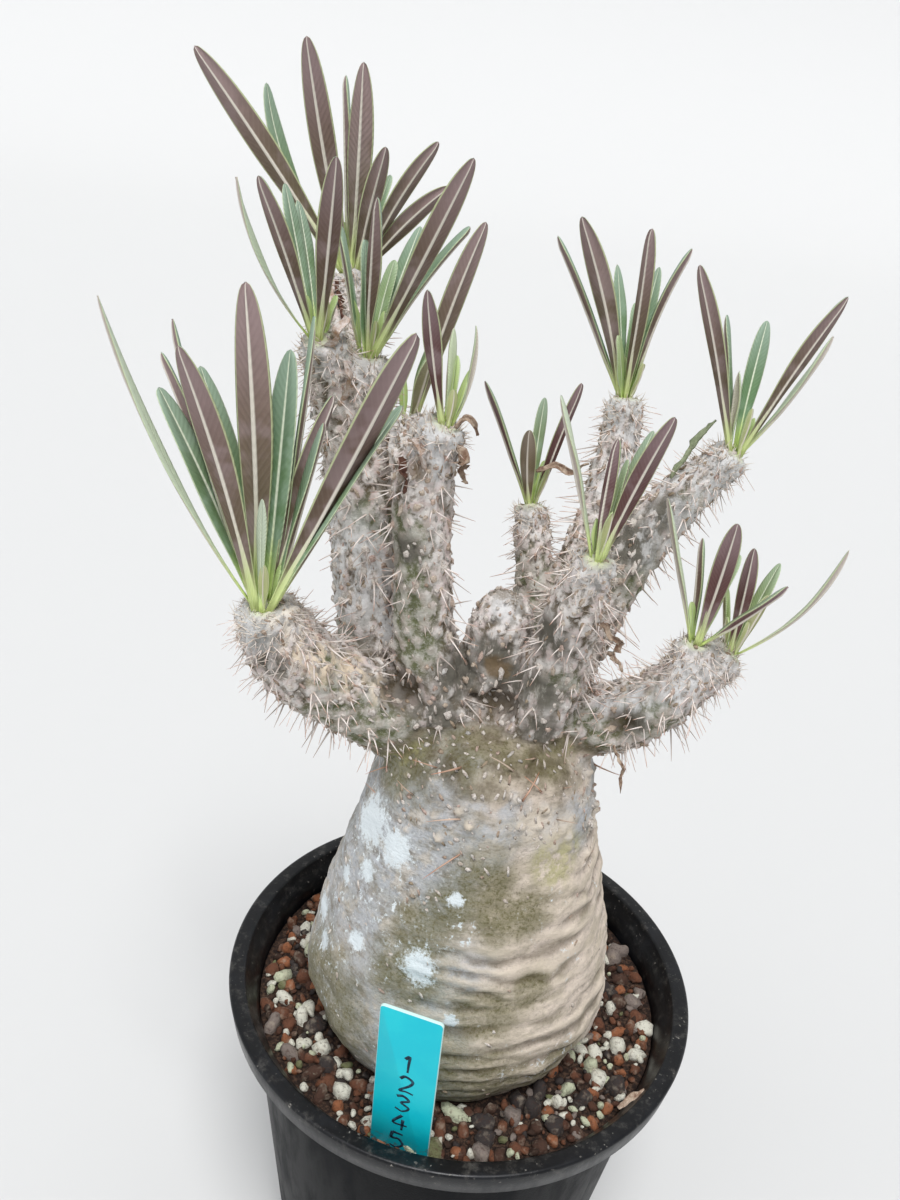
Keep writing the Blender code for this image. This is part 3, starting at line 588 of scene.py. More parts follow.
@dataclass(frozen=True)
class BarkFinish:
    """Skin of the caudex and its arms.

    The body is silvery on one side and beige on the other, with olive patches and pale lichen; painted shade
    darkens its fold valleys, the hollows where arms fork, a band under the arms and its foot at the soil, and
    a painted highlight lightens its fold tops and knobs. The arms have cream pads with olive skin between
    them, and patches of painted shade.
    """

    silver: Colour = rgb(184, 187, 190)
    beige: Colour = rgb(222, 207, 192)
    shade: Colour = rgb(128, 119, 104)
    olive: Colour = rgb(108, 104, 68)
    # Colour of the painted shade in creases, hollows, grain pits, under the arms and at the foot
    crease: Colour = rgb(80, 68, 50)
    # Colour of random pale patches, and of the painted highlight on fold tops, knobs and grain tops
    ridge: Colour = rgb(224, 210, 190)
    lichen: Colour = rgb(228, 236, 238)
    skin: Colour = rgb(108, 112, 80)
    lime: Colour = rgb(170, 166, 114)
    skin_brown: Colour = rgb(110, 98, 80)
    skin_tan: Colour = rgb(160, 152, 142)
    pad: Colour = rgb(240, 234, 228)
    pad_pink: Colour = rgb(222, 206, 200)
    neck: Colour = rgb(212, 212, 210)
    foot: Colour = rgb(208, 214, 170)
    bloom: Colour = rgb(226, 225, 223)
    warm: Colour = rgb(246, 228, 202)
    # Colour of the painted shade on the arms
    dusk: Colour = rgb(108, 104, 94)
    scar: Colour = rgb(122, 98, 64)

    def paint(self) -> Material:
        """Make the material.

        Returns:
            The finished material.
        """
        paint = Paint("caudex_bark", 0.85, 0.25)
        grain = paint.noise(0.8 * MM, 5, 0.7)
        paint.colour = paint.mix(paint.attribute("arm"), self.body(paint, grain), self.arms(paint, grain))
        ragged = paint.calc("ADD", paint.attribute("lichen"), paint.both(paint.noise(1.6 * MM, 6, 0.8), 1.7))
        paint.lay(paint.step(ragged, 1.12, 1.46, 0, 0.95), self.lichen)
        scar = paint.calc("ADD", paint.attribute("scar"), paint.calc("SUBTRACT", grain, 0.5))
        paint.lay(paint.step(scar, 0.2, 0.9, 0, 0.65), self.scar)
        # Painted shade: darker colour laid in the fold valleys and in the hollows where arms fork
        paint.lay(paint.both(paint.attribute("crease"), 0.8), self.crease)
        relief = [(paint.noise(1.8 * MM, 6, 0.7, (1, 1, 2)), 0.45 * MM), (grain, 0.22 * MM)]
        return paint.dress(paint.colour, relief)

    def body(self, paint: Paint, grain: Socket) -> Socket:
        """Colour of the swollen body.

        Args:
            paint: The material.
            grain: Its fine grain.

        Returns:
            The colour.
        """
        cloud = paint.noise(14 * MM, 5, 0.6)
        mottle = paint.noise(4.5 * MM, 6, 0.7, (1, 1, 1.7))
        left = paint.attribute("silver")
        side = paint.calc("ADD", left, paint.both(cloud, 1.2))
        paint.colour = paint.mix(paint.step(side, 0.75, 1.35), self.beige, self.silver)
        paint.lay(paint.step(paint.noise(7 * MM, 5, 0.65), 0.5, 0.62, 0, 0.5), self.ridge)
        shaded = paint.both(paint.step(mottle, 0.44, 0.64), paint.step(left, 0, 1, 0.4, 0.65))
        paint.lay(shaded, self.shade)
        # Painted highlight on the tops of the fine grain
        paint.lay(paint.step(grain, 0.5, 0.72, 0, 0.4), self.ridge)
        bands = paint.step(paint.noise(8 * MM, 5, 0.6, (0.7, 0.7, 2.2)), 0.46, 0.6)
        paint.lay(paint.both(bands, paint.step(left, 0, 1, 0.35, 0.2)), self.olive)
        moss = paint.step(paint.noise(4 * MM, 6, 0.7), 0.28, 0.52, 0.5, 1)
        moss = paint.both(paint.attribute("moss"), moss)
        paint.lay(paint.both(moss, paint.step(grain, 0.36, 0.56, 1, 0.75)), self.olive)
        lime = paint.step(paint.noise(3 * MM, 5, 0.65), 0.36, 0.58, 0, 0.8)
        paint.lay(paint.both(paint.attribute("green"), lime), self.lime)
        # Painted shade in the pits of the fine grain
        paint.lay(paint.step(grain, 0.48, 0.3, 0, 0.4), self.crease)
        # Painted highlight: the fold tops and knobs are laid lighter, less so under moss
        tops = paint.both(paint.attribute("ridge"), paint.step(paint.attribute("moss"), 0.2, 1, 0.75, 0.45))
        paint.lay(tops, self.ridge)
        # Painted shade: dark streaks in a band under the arms and round the foot at the soil
        streaks = paint.step(paint.noise(3 * MM, 6, 0.7, (1, 1, 0.35)), 0.36, 0.6, 0.3, 0.9)
        paint.lay(paint.both(paint.attribute("gloom"), streaks), self.crease)
        fleck = paint.step(paint.noise(1.6 * MM, 6, 0.7), 0.57, 0.64)
        where = paint.calc("MAXIMUM", paint.step(cloud, 0.48, 0.4), paint.attribute("flecked"))
        below = paint.step(paint.parts(paint.where)[2], 172 * MM, 160 * MM)
        return paint.mix(paint.both(fleck, where, below, 0.9), paint.colour, self.lichen)

    def arms(self, paint: Paint, grain: Socket) -> Socket:
        """Colour of the arms: pads over skin, with a grey bloom in places and a pale green neck.

        Args:
            paint: The material.
            grain: Its fine grain.

        Returns:
            The colour.
        """
        between = paint.mix(paint.step(paint.noise(4 * MM, 4), 0.4, 0.6), self.skin_tan, self.skin_brown)
        green = paint.both(paint.attribute("green"), paint.step(paint.noise(5 * MM, 5), 0.26, 0.46))
        between = paint.mix(green, between, self.skin)
        between = paint.mix(paint.step(grain, 0.46, 0.68, 0, 0.4), between, self.pad)
        tops = paint.mix(paint.step(paint.noise(3 * MM, 4), 0.42, 0.62), self.pad, self.pad_pink)
        edge = paint.calc("ADD", paint.attribute("pad"), paint.both(paint.noise(1.5 * MM, 6, 0.75), 1.7))
        cover = paint.both(paint.step(edge, 0.95, 1.5), paint.step(green, 0, 1, 0.95, 0.45))
        paint.colour = paint.mix(cover, between, tops)
        drawn = paint.noise(2.2 * MM, 5, 0.65, (1, 1, 0.3))
        streaks = paint.step(drawn, 0.38, 0.56)
        paint.lay(paint.both(paint.attribute("grey"), streaks), self.bloom)
        paint.lay(paint.both(paint.attribute("warm"), streaks), self.warm)
        # Painted shade: dusky grey laid over the arms' shaded patches
        paint.lay(paint.both(paint.attribute("dusk"), paint.step(drawn, 0.64, 0.5, 0.35, 1)), self.dusk)
        neck = paint.calc("SUBTRACT", paint.attribute("tip"), paint.both(paint.noise(2 * MM, 5, 0.65), 0.9))
        paint.lay(paint.step(neck, 0.05, 0.5, 0, 0.55), self.neck)
        foot = paint.both(paint.attribute("foot"), paint.step(grain, 0.35, 0.6, 0.3, 0.8))
        paint.lay(foot, self.foot)
        uneven = paint.calc("SUBTRACT", paint.noise(3 * MM, 5, 0.65), 0.5)
        old = paint.calc("ADD", paint.attribute("root"), uneven)
        bark = paint.mix(paint.step(grain, 0.44, 0.62), self.skin_brown, self.shade)
        bark = paint.mix(paint.both(paint.attribute("moss"), 0.6), bark, self.olive)
        return paint.mix(paint.step(old, 0.3, 0.85, 0, 0.8), paint.colour, bark)


@dataclass(frozen=True)
class ScabFinish:
    """Dry woolly scabs on the pads: cream, pinkish or grey, with a brown middle."""

    name: str
    cream: Colour = rgb(234, 226, 216)
    tan: Colour = rgb(206, 190, 170)
    pink: Colour = rgb(212, 188, 176)
    grey: Colour = rgb(214, 212, 208)
    eye: Colour = rgb(128, 94, 72)

    def paint(self) -> Material:
        """Make the material.

        Returns:
            The finished material.
        """
        paint = Paint(self.name, 0.92, 0.15)
        stops = [(0, self.grey), (0.2, self.cream), (0.5, self.cream), (0.75, self.tan), (1, self.pink)]
        paint.colour = paint.bands(paint.attribute("tone"), stops)
        fuzz = paint.noise(0.6 * MM, 5, 0.7)
        paint.lay(paint.step(fuzz, 0.34, 0.56, 0.55, 0), self.eye)
        return paint.dress(paint.colour, [(fuzz, 0.6 * MM)])


@dataclass(frozen=True)
class SpineFinish:
    """Spines: pinkish cream with an orange point, or a warm orange brown for the old ones."""

    name: str = "spine_horn"
    base: Colour = rgb(218, 198, 182)
    shaft: Colour = rgb(246, 236, 228)
    point: Colour = rgb(214, 158, 130)
    old: Colour = rgb(178, 166, 156)

    def paint(self) -> Material:
        """Make the material.

        Returns:
            The finished material.
        """
        paint = Paint(self.name, 0.55, 0.35)
        stops = [(0, self.base), (0.35, self.shaft), (0.6, self.shaft), (0.95, self.point)]
        paint.colour = paint.bands(paint.attribute("reach"), stops)
        paint.lay(paint.step(paint.attribute("tone"), 0.6, 0.95, 0, 0.8), self.old)
        return paint.dress(paint.colour, [(paint.noise(0.3 * MM, 2), 0.04 * MM)])


OLD_SPINE = SpineFinish(
    "spine_old", base=rgb(150, 112, 90), shaft=rgb(206, 168, 144), point=rgb(196, 132, 104),
    old=rgb(206, 190, 172))


@dataclass(frozen=True)
class WoolFinish:
    """Pale fibres round the growing tips."""

    pale: Colour = rgb(240, 232, 220)
    warm: Colour = rgb(214, 196, 178)

    def paint(self) -> Material:
        """Make the material."""
        paint = Paint("tip_wool", 0.9, 0.2)
        return paint.dress(paint.mix(paint.attribute("tone"), self.pale, self.warm))


@dataclass(frozen=True)
class LeafFinish:
    """One face of the leaves, with its pale midrib, its margin and its bright foot."""

    name: str
    blade: Colour
    blade_dark: Colour
    low: Colour
    red: Colour
    rib: Colour
    margin: Colour
    foot: Colour
    bloom: Colour
    rib_width: float
    rib_flare: float
    margin_start: float
    foot_reach: float
    roughness: float

    def paint(self) -> Material:
        """Make the material from the leaf's own UV map: across it on X and along it on Y.

        Returns:
            The finished material.
        """
        paint = Paint(self.name, self.roughness, 0.28)
        across, along, _ = paint.parts(paint.add("ShaderNodeUVMap", uv_map="leaf").outputs[0])
        offset = paint.calc("ABSOLUTE", paint.calc("SUBTRACT", paint.both(across, 2), 1))
        tone = paint.attribute("tone")
        mottle = paint.noise(2.2 * MM, 4, 0.6)
        shade = paint.calc("ADD", paint.both(tone, 0.7), paint.both(mottle, 0.5))
        paint.colour = paint.mix(paint.step(shade, 0.3, 0.9), self.blade, self.blade_dark)
        low = paint.calc("ADD", along, paint.both(paint.calc("ADD", tone, mottle), 0.22))
        paint.lay(paint.step(low, 1.15, 0.4, 0, 0.85), self.low)
        paint.lay(paint.attribute("red"), self.red)
        wave = paint.calc("ADD", paint.both(along, 190), paint.both(offset, -16))
        vein = paint.calc("SINE", wave)
        paint.lay(paint.step(vein, 0.2, 1, 0, 0.025), self.rib)
        sheen = paint.step(paint.noise(8 * MM, 3), 0.44, 0.64, 0, 0.4)
        paint.lay(paint.calc("MAXIMUM", sheen, paint.step(along, 0.5, 1, 0, 0.55)), self.bloom)
        paint.lay(paint.both(paint.attribute("young"), 0.6), self.foot)
        paint.lay(paint.both(paint.attribute("thin"), 0.55), self.rib)
        paint.lay(paint.step(offset, self.margin_start, self.margin_start + 0.06, 0, 0.9), self.margin)
        width = paint.calc("ADD", paint.step(along, 0, 1, self.rib_width * 1.3, self.rib_width * 0.6),
                           paint.step(along, 0.36, 0, 0, self.rib_flare))
        inside = paint.calc("SUBTRACT", width, offset)
        rib = paint.mix(paint.step(along, 0.42, 0.08, 0, 0.8), self.rib, self.foot)
        paint.lay(paint.step(inside, -0.05, 0.04), rib)
        fade = paint.calc("SUBTRACT", along, paint.both(mottle, 0.06))
        paint.lay(paint.step(fade, 0, self.foot_reach, 1, 0), self.foot)
        return paint.dress(paint.colour, [(vein, 0.02 * MM), (mottle, 0.06 * MM)])


UPPER_LEAF = LeafFinish(
    "leaf_upper", blade=rgb(132, 155, 122), blade_dark=rgb(90, 119, 86), low=rgb(112, 147, 102),
    red=rgb(130, 144, 100), rib=rgb(228, 234, 210), margin=rgb(208, 220, 184), foot=rgb(220, 240, 150),
    bloom=rgb(172, 192, 176), rib_width=0.09, rib_flare=0.12, margin_start=0.89, foot_reach=0.28,
    roughness=0.45)
UNDER_LEAF = LeafFinish(
    "leaf_under", blade=rgb(142, 118, 109), blade_dark=rgb(104, 86, 71), low=rgb(104, 97, 71),
    red=rgb(94, 54, 58), rib=rgb(228, 220, 206), margin=rgb(190, 198, 152), foot=rgb(218, 232, 158),
    bloom=rgb(172, 152, 154), rib_width=0.13, rib_flare=0.5, margin_start=0.87, foot_reach=0.2,
    roughness=0.5)


@dataclass(frozen=True)
class DryFinish:
    """Dead leaves and papery scraps."""

    name: str = "dry_leaf"
    pale: Colour = rgb(196, 178, 158)
    brown: Colour = rgb(126, 98, 80)

    def paint(self) -> Material:
        """Make the material.

        Returns:
            The finished material.
        """
        paint = Paint(self.name, 0.85, 0.2)
        blotch = paint.noise(1.6 * MM, 6, 0.7)
        paint.colour = paint.mix(paint.step(blotch, 0.36, 0.66), self.brown, self.pale)
        return paint.dress(paint.colour, [(paint.noise(0.6 * MM, 4), 0.25 * MM)])


@dataclass(frozen=True)
class GrainFinish:
    """Soil grains: baked clay, cream pumice, dark gravel and a few green bits, one kind for each grain."""

    name: str = "soil_grain"
    clay: Colour = rgb(152, 98, 68)
    clay_dark: Colour = rgb(112, 74, 56)
    brown: Colour = rgb(82, 60, 50)
    pumice: Colour = rgb(226, 224, 208)
    pumice_green: Colour = rgb(204, 208, 178)
    stone: Colour = rgb(138, 126, 118)
    gravel: Colour = rgb(64, 58, 56)
    bit: Colour = rgb(116, 118, 84)
    dust: Colour = rgb(190, 176, 156)

    def paint(self) -> Material:
        """Make the material.

        Returns:
            The finished material.
        """
        paint = Paint(self.name, 0.9, 0.2)
        kinds = [(0, self.clay), (0.2, self.clay_dark), (0.42, self.brown), (0.54, self.pumice),
                 (0.7, self.pumice_green), (0.79, self.stone), (0.87, self.gravel), (0.975, self.bit)]
        paint.colour = paint.bands(paint.attribute("tone"), kinds, "CONSTANT")
        pits = paint.noise(0.9 * MM, 5, 0.7)
        paint.lay(paint.step(pits, 0.5, 0.34, 0, 0.6), self.brown)
        paint.lay(paint.step(paint.noise(2.5 * MM, 4, 0.6), 0.5, 0.72, 0, 0.4), self.dust)
        return paint.dress(paint.colour, [(pits, 0.7 * MM)])


@dataclass(frozen=True)
class EarthFinish:
    """Dark fines between the grains."""

    dark: Colour = rgb(44, 34, 30)
    light: Colour = rgb(96, 74, 60)

    def paint(self) -> Material:
        """Make the material.

        Returns:
            The finished material.
        """
        paint = Paint("soil_fines", 0.95, 0.2)
        crumbs = paint.noise(1.1 * MM, 5, 0.7)
        paint.colour = paint.mix(paint.step(crumbs, 0.42, 0.68), self.dark, self.light)
        return paint.dress(paint.colour, [(crumbs, 0.8 * MM)])


@dataclass(frozen=True)
class PotFinish:
    """Black moulded plastic with pale dust on its lip and faint scuffs."""

    black: Colour = rgb(8, 9, 12)
    grey: Colour = rgb(20, 22, 26)
    dust: Colour = rgb(150, 146, 138)

    def paint(self) -> Material:
        """Make the material.

        Returns:
            The finished material.
        """
        paint = Paint("pot_plastic", 0.4, 0.22)
        height = paint.parts(paint.where)[2]
        scuff = paint.noise(9 * MM, 6, 0.7, (1, 1, 0.25))
        paint.colour = paint.mix(paint.step(scuff, 0.48, 0.72), self.black, self.grey)
        near_lip = paint.step(height, 90 * MM, 99.5 * MM, 0.05, 1)
        specks = paint.step(paint.noise(1.1 * MM, 3, 0.5), 0.64, 0.72)
        patch = paint.step(paint.noise(9 * MM, 4, 0.6), 0.44, 0.62)
        haze = paint.both(paint.step(paint.noise(3 * MM, 5, 0.7), 0.5, 0.78, 0, 0.22), near_lip)
        dusty = paint.both(specks, patch, near_lip, 0.8)
        paint.lay(paint.calc("MAXIMUM", dusty, haze), self.dust)
        shine = paint.step(height, 90 * MM, 94 * MM, 0.02, 0.35)
        paint.feed(paint.shader.inputs["Specular IOR Level"], shine)
        roughness = paint.calc("ADD", paint.step(scuff, 0.4, 0.7, 0.32, 0.48), paint.both(dusty, 0.4))
        return paint.dress(paint.colour, [(paint.noise(0.5 * MM, 3), 0.03 * MM)], roughness)


@dataclass(frozen=True)
class LabelFinish:
    """Turquoise plastic with cut edges paler in colour and in painted highlight, and a little soil near its
    foot.
    """

    face: Colour = rgb(8, 192, 208)
    worn: Colour = rgb(22, 198, 210)
    edge: Colour = rgb(206, 236, 230)
    soil: Colour = rgb(96, 78, 62)

    def paint(self) -> Material:
        """Make the material.

        Returns:
            The finished material.
        """
        paint = Paint("label_plastic", 0.4, 0.35)
        height = paint.parts(paint.where)[2]
        paint.colour = paint.mix(paint.step(paint.noise(8 * MM, 4), 0.4, 0.65), self.face, self.worn)
        # Cut edges laid paler: partly the plastic's own paler edge, partly a painted highlight
        paint.lay(paint.attribute("edge"), self.edge)
        low = paint.step(height, 98 * MM, 93 * MM)
        splash = paint.both(paint.step(paint.noise(1.4 * MM, 5, 0.7), 0.5, 0.62), low)
        paint.lay(paint.both(splash, 0.7), self.soil)
        return paint.dress(paint.colour, [(paint.noise(1.2 * MM, 2), 0.02 * MM)])


@dataclass(frozen=True)
class InkFinish:
    """Dark pen ink, worn a little pale."""

    dark: Colour = rgb(28, 44, 62)
    worn: Colour = rgb(44, 84, 100)

    def paint(self) -> Material:
        """Make the material."""
        paint = Paint("pen_ink", 0.6, 0.2)
        return paint.dress(paint.mix(paint.step(paint.noise(1.2 * MM, 4), 0.45, 0.65), self.dark, self.worn))


# Scattering small shapes over a surface


@dataclass
class Scatter:
    """Copies of small shapes set on a surface by a Geometry Nodes tree, their Z pointing away from it.

    The copies stand on points drawn over the surface's faces or, with on_points, on its own vertices, which
    keep the direction "out" and the number "size". The attribute "along" is the direction that a shape's X
    follows, and the one named by weight thins the copies out.
    """

    name: str
    weight: str
    size: tuple[float, float]
    seed: int
    on_points: bool = False
    spacing: float = MM
    density: float = 1e6
    droop: float = 0.0
    rise: float = 0.0
    wander: float = 0.2
    lift: float = 0.0
    shapes: list[Mesh] = field(default_factory=list)

    def tree(self) -> bpy.types.NodeTree:
        """Build the node tree with its named inputs.

        Returns:
            The tree.
        """
        tree = bpy.data.node_groups.new(self.name, "GeometryNodeTree")
        kinds = {
            "Geometry": "Geometry", "Surface": "Object", "Shapes": "Collection", "Spacing": "Float",
            "Density": "Float", "Least Size": "Float", "Most Size": "Float", "Droop": "Vector",
            "Rise": "Float", "Wander": "Float", "Lift": "Float", "Seed": "Int", "Material": "Material"}
        for name, kind in kinds.items():
            tree.interface.new_socket(name, in_out="INPUT", socket_type=f"NodeSocket{kind}")
        tree.interface.new_socket("Geometry", in_out="OUTPUT", socket_type="NodeSocketGeometry")
        net = Net(tree)
        given = net.add("NodeGroupInput").outputs
        surface = net.add("GeometryNodeObjectInfo", {"Object": given["Surface"]}).outputs["Geometry"]
        points, outward = self.points(net, given, surface)
        along = self.read(net, "along", "FLOAT_VECTOR")
        jitter = net.add("FunctionNodeRandomValue", {
            "Min": (-1, -1, -1), "Max": (1, 1, 1), "Seed": given["Seed"]},
            data_type="FLOAT_VECTOR").outputs[0]
        jitter = self.vector(net, "SCALE", jitter, given["Wander"])
        rise = self.vector(net, "SCALE", along, given["Rise"])
        aim = self.vector(net, "ADD", self.vector(net, "ADD", outward, given["Droop"]), rise)
        aim = self.vector(net, "NORMALIZE", self.vector(net, "ADD", aim, jitter))
        turn = net.add("FunctionNodeAxesToRotation", {
            "Primary Axis": aim, "Secondary Axis": self.vector(net, "ADD", along, jitter)},
            primary_axis="Z", secondary_axis="X").outputs[0]
        size = net.add("FunctionNodeRandomValue", {
            "Min": given["Least Size"], "Max": given["Most Size"], "Seed": given["Seed"]},
            data_type="FLOAT").outputs[1]
        if self.on_points:
            own = self.read(net, "size", "FLOAT")
            size = net.add("ShaderNodeMath", {0: size, 1: own}, operation="MULTIPLY").outputs[0]
        offset = self.vector(net, "SCALE", outward, given["Lift"])
        moved = net.add("GeometryNodeSetPosition", {"Geometry": points, "Offset": offset}).outputs[0]
        kinds_of_shape = net.add("GeometryNodeCollectionInfo", {
            "Collection": given["Shapes"], "Separate Children": True, "Reset Children": True}).outputs[0]
        copies = net.add("GeometryNodeInstanceOnPoints", {
            "Points": moved, "Instance": kinds_of_shape, "Pick Instance": True, "Rotation": turn,
            "Scale": size}).outputs[0]
        tone = net.add("FunctionNodeRandomValue", {"Seed": 3}, data_type="FLOAT").outputs[1]
        toned = net.add("GeometryNodeStoreNamedAttribute", {
            "Geometry": copies, "Name": "tone", "Value": tone},
            domain="INSTANCE", data_type="FLOAT").outputs[0]
        real = net.add("GeometryNodeRealizeInstances", {"Geometry": toned}).outputs[0]
        dressed = net.add("GeometryNodeSetMaterial", {"Geometry": real, "Material": given["Material"]})
        net.add("NodeGroupOutput", {"Geometry": dressed.outputs[0]})
        return tree

    def points(self, net: Net, given: bpy.types.NodeOutputs, surface: Socket) -> tuple[Socket, Socket]:
        """Make the points that the copies stand on.

        Args:
            net: The tree's nodes.
            given: The tree's inputs.
            surface: The surface's geometry.

        Returns:
            The points and the direction that leads away from the surface.
        """
        weight = self.read(net, self.weight, "FLOAT")
        if self.on_points:
            kept = net.add("FunctionNodeRandomValue", {
                "Probability": weight, "Seed": given["Seed"]}, data_type="BOOLEAN").outputs[3]
            points = net.add("GeometryNodeMeshToPoints", {"Mesh": surface, "Selection": kept}).outputs[0]
            return points, self.read(net, "out", "FLOAT_VECTOR")
        drawn = net.add("GeometryNodeDistributePointsOnFaces", {
            "Mesh": surface, "Distance Min": given["Spacing"], "Density Max": given["Density"],
            "Density Factor": weight, "Seed": given["Seed"]}, distribute_method="POISSON").outputs
        return drawn["Points"], drawn["Normal"]

    @staticmethod
    def read(net: Net, name: str, kind: str) -> Socket:
        """Read one of the surface's attributes."""
        return net.add("GeometryNodeInputNamedAttribute", {"Name": name}, data_type=kind).outputs[0]

    @staticmethod
    def vector(net: Net, operation: str, first: Socket, second: Socket | None = None) -> Socket:
        """Do one sum with the Vector Math node.

        Args:
            net: The tree's nodes.
            operation: Blender's name of the sum.
            first: The first vector.
            second: The second vector, or the scale.

        Returns:
            The resulting vector.
        """
        inputs: Inputs = {0: first}
        if second is not None:
            inputs["Scale" if operation == "SCALE" else 1] = second
        return net.add("ShaderNodeVectorMath", inputs, operation=operation).outputs[0]

    def grow(self, surface: Object, material: Material) -> Object:
        """Run the tree over a surface.

        Args:
            surface: The object that the copies stand on.
            material: The copies' material.

        Returns:
            A plain mesh object of all the copies.
        """
        shelf = bpy.data.collections.new(f"{self.name}_shapes")
        for mesh in self.shapes:
            shelf.objects.link(bpy.data.objects.new(mesh.name, mesh))
        tree = self.tree()
        carrier = bpy.data.objects.new(f"{self.name}_carrier", bpy.data.meshes.new(self.name))
        bpy.context.scene.collection.objects.link(carrier)
        modifier = carrier.modifiers.new("Scatter", "NODES")
        modifier.node_group = tree
        values = {
            "Surface": surface, "Shapes": shelf, "Spacing": self.spacing, "Density": self.density,
            "Least Size": self.size[0], "Most Size": self.size[1], "Droop": (0.0, 0.0, -self.droop),
            "Rise": self.rise, "Wander": self.wander, "Lift": self.lift, "Seed": self.seed,
            "Material": material}
        sockets = {item.name: item.identifier for item in tree.interface.items_tree if item.in_out == "INPUT"}
        for name, value in values.items():
            modifier[sockets[name]] = value
        mesh = evaluated_mesh(carrier)
        drop(carrier)
        for obj in list(shelf.objects):
            drop(obj)
        bpy.data.collections.remove(shelf)
        bpy.data.node_groups.remove(tree)
        return add_object(self.name, mesh, [material])


def horn_mesh(name: str, lean: float, bend: float, length: float, radius: float, sides: int = 3) -> Mesh:
    """One slender curved horn that starts at the origin and leans from Z towards Y.

    Args:
        name: Name of the mesh.
        lean: Angle from Z at its root, in degrees.
        bend: How far it bends back towards Z, in degrees.
        length: Its length.
        radius: Radius at its root.
        sides: How many sides it has.

    Returns:
        The mesh, with the attribute "reach" from 0 at the root to 1 at the point.
    """
    rows = 3
    place = Vector((0, 0, -0.1 * length))
    rings, reach = [], []
    for row in range(rows + 1):
        share = row / rows
        angle = math.radians(lean - bend * share)
        direction = Vector((0, math.sin(angle), math.cos(angle)))
        rings.append(circle(place, direction, radius * (1 - share) ** 0.8 + 0.03 * MM, sides))
        reach += [share] * sides
        place = place + direction * length / rows
    mesh = loft(name, rings)
    store(mesh, "reach", np.array(reach))
    return mesh


def joined(name: str, meshes: Sequence[Mesh]) -> Mesh:
    """Join meshes in one, with their vertex attributes.

    Args:
        name: Name of the joined mesh.
        meshes: The meshes, which are removed.

    Returns:
        The joined mesh.
    """
    work = bmesh.new()
    for mesh in meshes:
        work.from_mesh(mesh)
    result = finished(name, work)
    for mesh in meshes:
        bpy.data.meshes.remove(mesh)
    return result


def pebble_mesh(name: str, seed: int, squash: Sequence[float], rough: float, cuts: int, fine: int) -> Mesh:
    """One grain of unit radius.

    Args:
        name: Name of the mesh.
        seed: Picks its dents.
        squash: Size along each axis.
        rough: Depth of its dents.
        cuts: How many flat facets are broken off it.
        fine: How finely it is divided, where 1 gives 20 faces and 2 gives 80.

    Returns:
        The mesh.
    """
    rng = random.Random(seed)
    planes = []
    for _ in range(cuts):
        direction = Vector([rng.gauss(0, 1) for _ in range(3)]).normalized()
        planes.append((direction, rng.uniform(0.6, 0.85)))
    shift = Vector((seed * 7.1, seed * 3.3, seed * 5.9))
    work = bmesh.new()
    bmesh.ops.create_icosphere(work, subdivisions=fine, radius=1)
    for vertex in work.verts:
        dent = noise.noise(vertex.co * 1.1 + shift) + 0.5 * noise.noise(vertex.co * 2.3 + shift)
        vertex.co *= 1 + rough * dent
        for direction, reach in planes:
            vertex.co -= direction * max(0.0, vertex.co.dot(direction) - reach)
        vertex.co = Vector(a * b for a, b in zip(vertex.co, squash))
    return finished(name, work)


def pebbles(name: str, seed: int, rough: float, squashes: Sequence[Sequence[float]], cuts: int = 0,
            fine: int = 2) -> list[Mesh]:
    """Make one grain for each squash, with dents of its own."""
    return [pebble_mesh(f"{name}_{index}", seed + index, squash, rough, cuts, fine)
            for index, squash in enumerate(squashes)]


def horns(name: str, radius: float, rows: Sequence[tuple[float, float, float]]) -> list[Mesh]:
    """Make one horn for each (lean, bend, length in millimetres)."""
    return [horn_mesh(f"{name}_{index}", lean, bend, length * MM, radius)
            for index, (lean, bend, length) in enumerate(rows)]


# The object's own pieces


@dataclass(frozen=True)
class Patches:
    """Round patches on the caudex, as (x, y, z, radius) rows.

    They start to show where their cover passes clear, and show in full where it passes full.
    """

    full: float
    rows: tuple[tuple[float, float, float, float], ...]
    clear: float = 0.0

    def cover(self, places: np.ndarray) -> np.ndarray:
        """How far inside the nearest patch each place lies.

        Args:
            places: Rows of places in metres.

        Returns:
            A number for each place, from 1 in a patch's middle to 0 at its edge.
        """
        shares = []
        for x, y, z, radius in self.rows:
            distance = np.linalg.norm(places - np.array((x, y, z)) * MM, axis=1)
            shares.append(np.clip(1 - distance / (radius * MM), 0, 1))
        return np.max(shares, axis=0)

    def at(self, places: np.ndarray, ragged: np.ndarray | float = 0.0) -> np.ndarray:
        """How strongly the patches show at each place, from 0 to 1, with their edges moved by ragged."""
        return ease(self.cover(places) + ragged, self.clear, self.full)


# Pale lichen crusts on the body
LICHEN = Patches(1, (
    (-26.8, -16.4, 158.6, 11), (-19.6, -23.6, 157.8, 8), (-11.7, -35, 134.2, 7), (-36.5, -9, 124.4, 6),
    (-34.7, -16.7, 121, 5), (-25.6, -20.5, 147.5, 4.5), (-27, -26.5, 131, 4.5), (-5.6, -31.8, 152.3, 3),
    (-3, -38.5, 123, 3), (-30.5, -15, 141, 4), (26, 14, 150, 7), (-12, 28, 140, 8), (22, 24, 118, 6),
))
